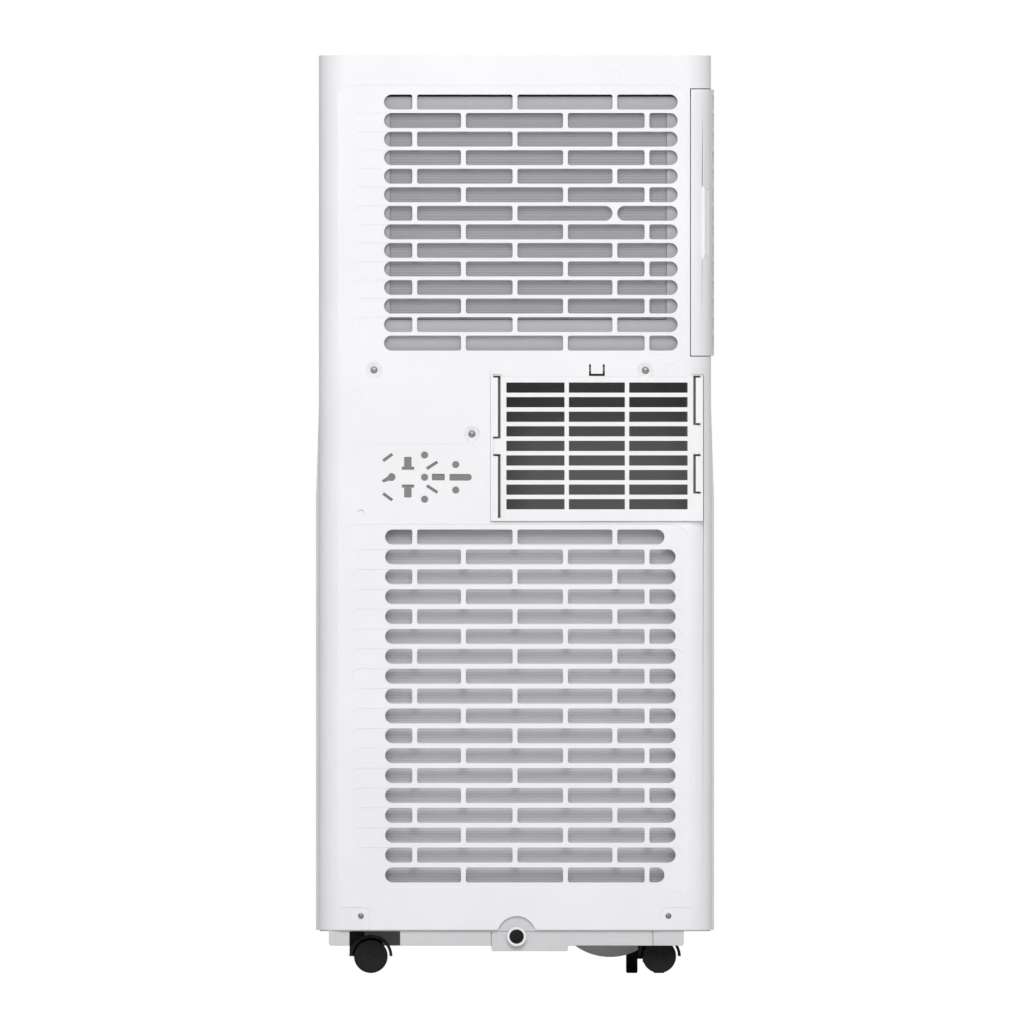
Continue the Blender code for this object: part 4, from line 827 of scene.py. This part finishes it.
# Small parts.
def screw(name, x, z, head):
    """A screw with a cross recess in its head."""
    seat = 0.1440
    profile = [(0, seat - 0.010), (0.0009, seat - 0.009), (0.0012, seat - 0.007), (0.0012, seat + 0.0002)]
    profile += [(head, seat + 0.0002), (head, seat + 0.0009), (head * 0.8, seat + 0.0014), (0, seat + 0.0016)]
    arms = []
    reach, width = head * 0.62, 0.00022
    for across, tall in ((reach, width), (width, reach)):
        arm = rectangle(x - across, x + across, z - tall, z + tall)
        arms.append(prism(arm, seat + 0.0006, seat + 0.003, "Y"))
    steps = [("DIFFERENCE", [arms[0]]), ("DIFFERENCE", [arms[1]])]
    piece(f"{name}_fine", SCREW, turned(profile, (x, 0, z), "Y", 36), "casing", [name], steps, 0.00005, 1)


def button(number):
    """A dished cap that fits the size of its frame node."""
    node = NODES[f"button_{number}"]
    corners = [node.matrix_world @ Vector(corner) for corner in node.bound_box]
    low = Vector([min(corner[axis] for corner in corners) for axis in range(3)])
    high = Vector([max(corner[axis] for corner in corners) for axis in range(3)])
    middle = (low + high) / 2
    profile = [(0, low.z), (0.0053, low.z), (0.0055, low.z + 0.0002), (0.0055, high.z - 0.0007)]
    profile += [(0.0052, high.z - 0.0002), (0.0046, high.z), (0.0030, high.z - 0.0003), (0, high.z - 0.0004)]
    cap = turned(profile, (middle.x, middle.y, 0), "Z", 48)
    piece(f"button_cap_{number}", FRAME, cap, f"button_{number}", [f"button_{number}"], (), 0.0001, 1)


def soften(name, width):
    """Rounds the edges of a frame node as it stands."""
    node = NODES[name]
    edge = node.modifiers.new("edge", "BEVEL")
    edge.width = width
    edge.segments = 2
    edge.limit_method = "ANGLE"
    edge.angle_limit = math.radians(40)
    weigh = node.modifiers.new("normals", "WEIGHTED_NORMAL")
    weigh.keep_sharp = True


rear_casing()
exhaust_frame()
filter_cover()
front_casing()
base_pan()
painted_shade_wall()
drain_end()
drain_collar()
for name in STEMS:
    caster(name)
for name, (x, z) in WELLS.items():
    screw(name, x, z, 0.0022)
for name, (x, z) in FEET.items():
    screw(name, x, z, 0.0018)
for number in range(1, 6):
    button(number)
for name, width in (
    ("top_cover", 0.0006), ("grip_cup_left", 0.0008), ("grip_cup_right", 0.0008),
    ("control_panel", 0.0004), ("display_lens", 0.0003),
):
    soften(name, width)
for number in range(1, 5):
    soften(f"vane_{number}", 0.0003)


# Floor, light and camera.
def stage_floor():
    mesh = bpy.data.meshes.new("floor")
    work = bmesh.new()
    bmesh.ops.create_grid(work, x_segments=1, y_segments=1, size=4.0)
    work.to_mesh(mesh)
    work.free()
    floor = bpy.data.objects.new("floor", mesh)
    bpy.context.scene.collection.objects.link(floor)
    mesh.materials.append(plastic("floor_white", (0.93, 0.93, 0.935), 0.6, 0.00001, 60.0, 0.004))


def lamp(name, place, aim, size, power):
    data = bpy.data.lights.new(name, "AREA")
    data.shape = "RECTANGLE"
    data.size = size[0]
    data.size_y = size[1]
    data.energy = power
    made = bpy.data.objects.new(name, data)
    made.location = place
    made.rotation_euler = (Vector(aim) - Vector(place)).to_track_quat("-Z", "Y").to_euler()
    bpy.context.scene.collection.objects.link(made)


def camera():
    data = bpy.data.cameras.new("camera")
    data.type = "ORTHO"
    data.ortho_scale = 0.7558
    data.clip_end = 20
    made = bpy.data.objects.new("camera", data)
    made.location = (0.0037, 3.0, 0.3431)
    made.rotation_euler = (math.radians(90), 0, math.radians(180))
    bpy.context.scene.collection.objects.link(made)
    bpy.context.scene.camera = made


def world():
    """A white surround that lights the object at a lower strength than it shows."""
    made = bpy.data.worlds.new("studio")
    made.use_nodes = True
    nodes = made.node_tree.nodes
    links = made.node_tree.links
    ray = nodes.new("ShaderNodeLightPath")
    share = nodes.new("ShaderNodeMapRange")
    share.inputs["To Min"].default_value = 0.40
    share.inputs["To Max"].default_value = 1.0
    links.new(ray.outputs["Is Camera Ray"], share.inputs["Value"])
    links.new(share.outputs["Result"], nodes["Background"].inputs["Strength"])
    nodes["Background"].inputs["Color"].default_value = (1.0, 1.0, 1.0, 1)
    bpy.context.scene.world = made
    bpy.context.scene.view_settings.view_transform = "Standard"


stage_floor()
lamp("key", (0.0, 2.6, 1.5), (0, 0.1, 0.36), (1.2, 1.2), 36)
lamp("top", (0, 0.2, 2.4), (0, 0, 0.3), (1.5, 1.5), 7)
lamp("front", (-0.4, -2.6, 1.4), (0, -0.1, 0.35), (1.4, 1.4), 24)
camera()
world()
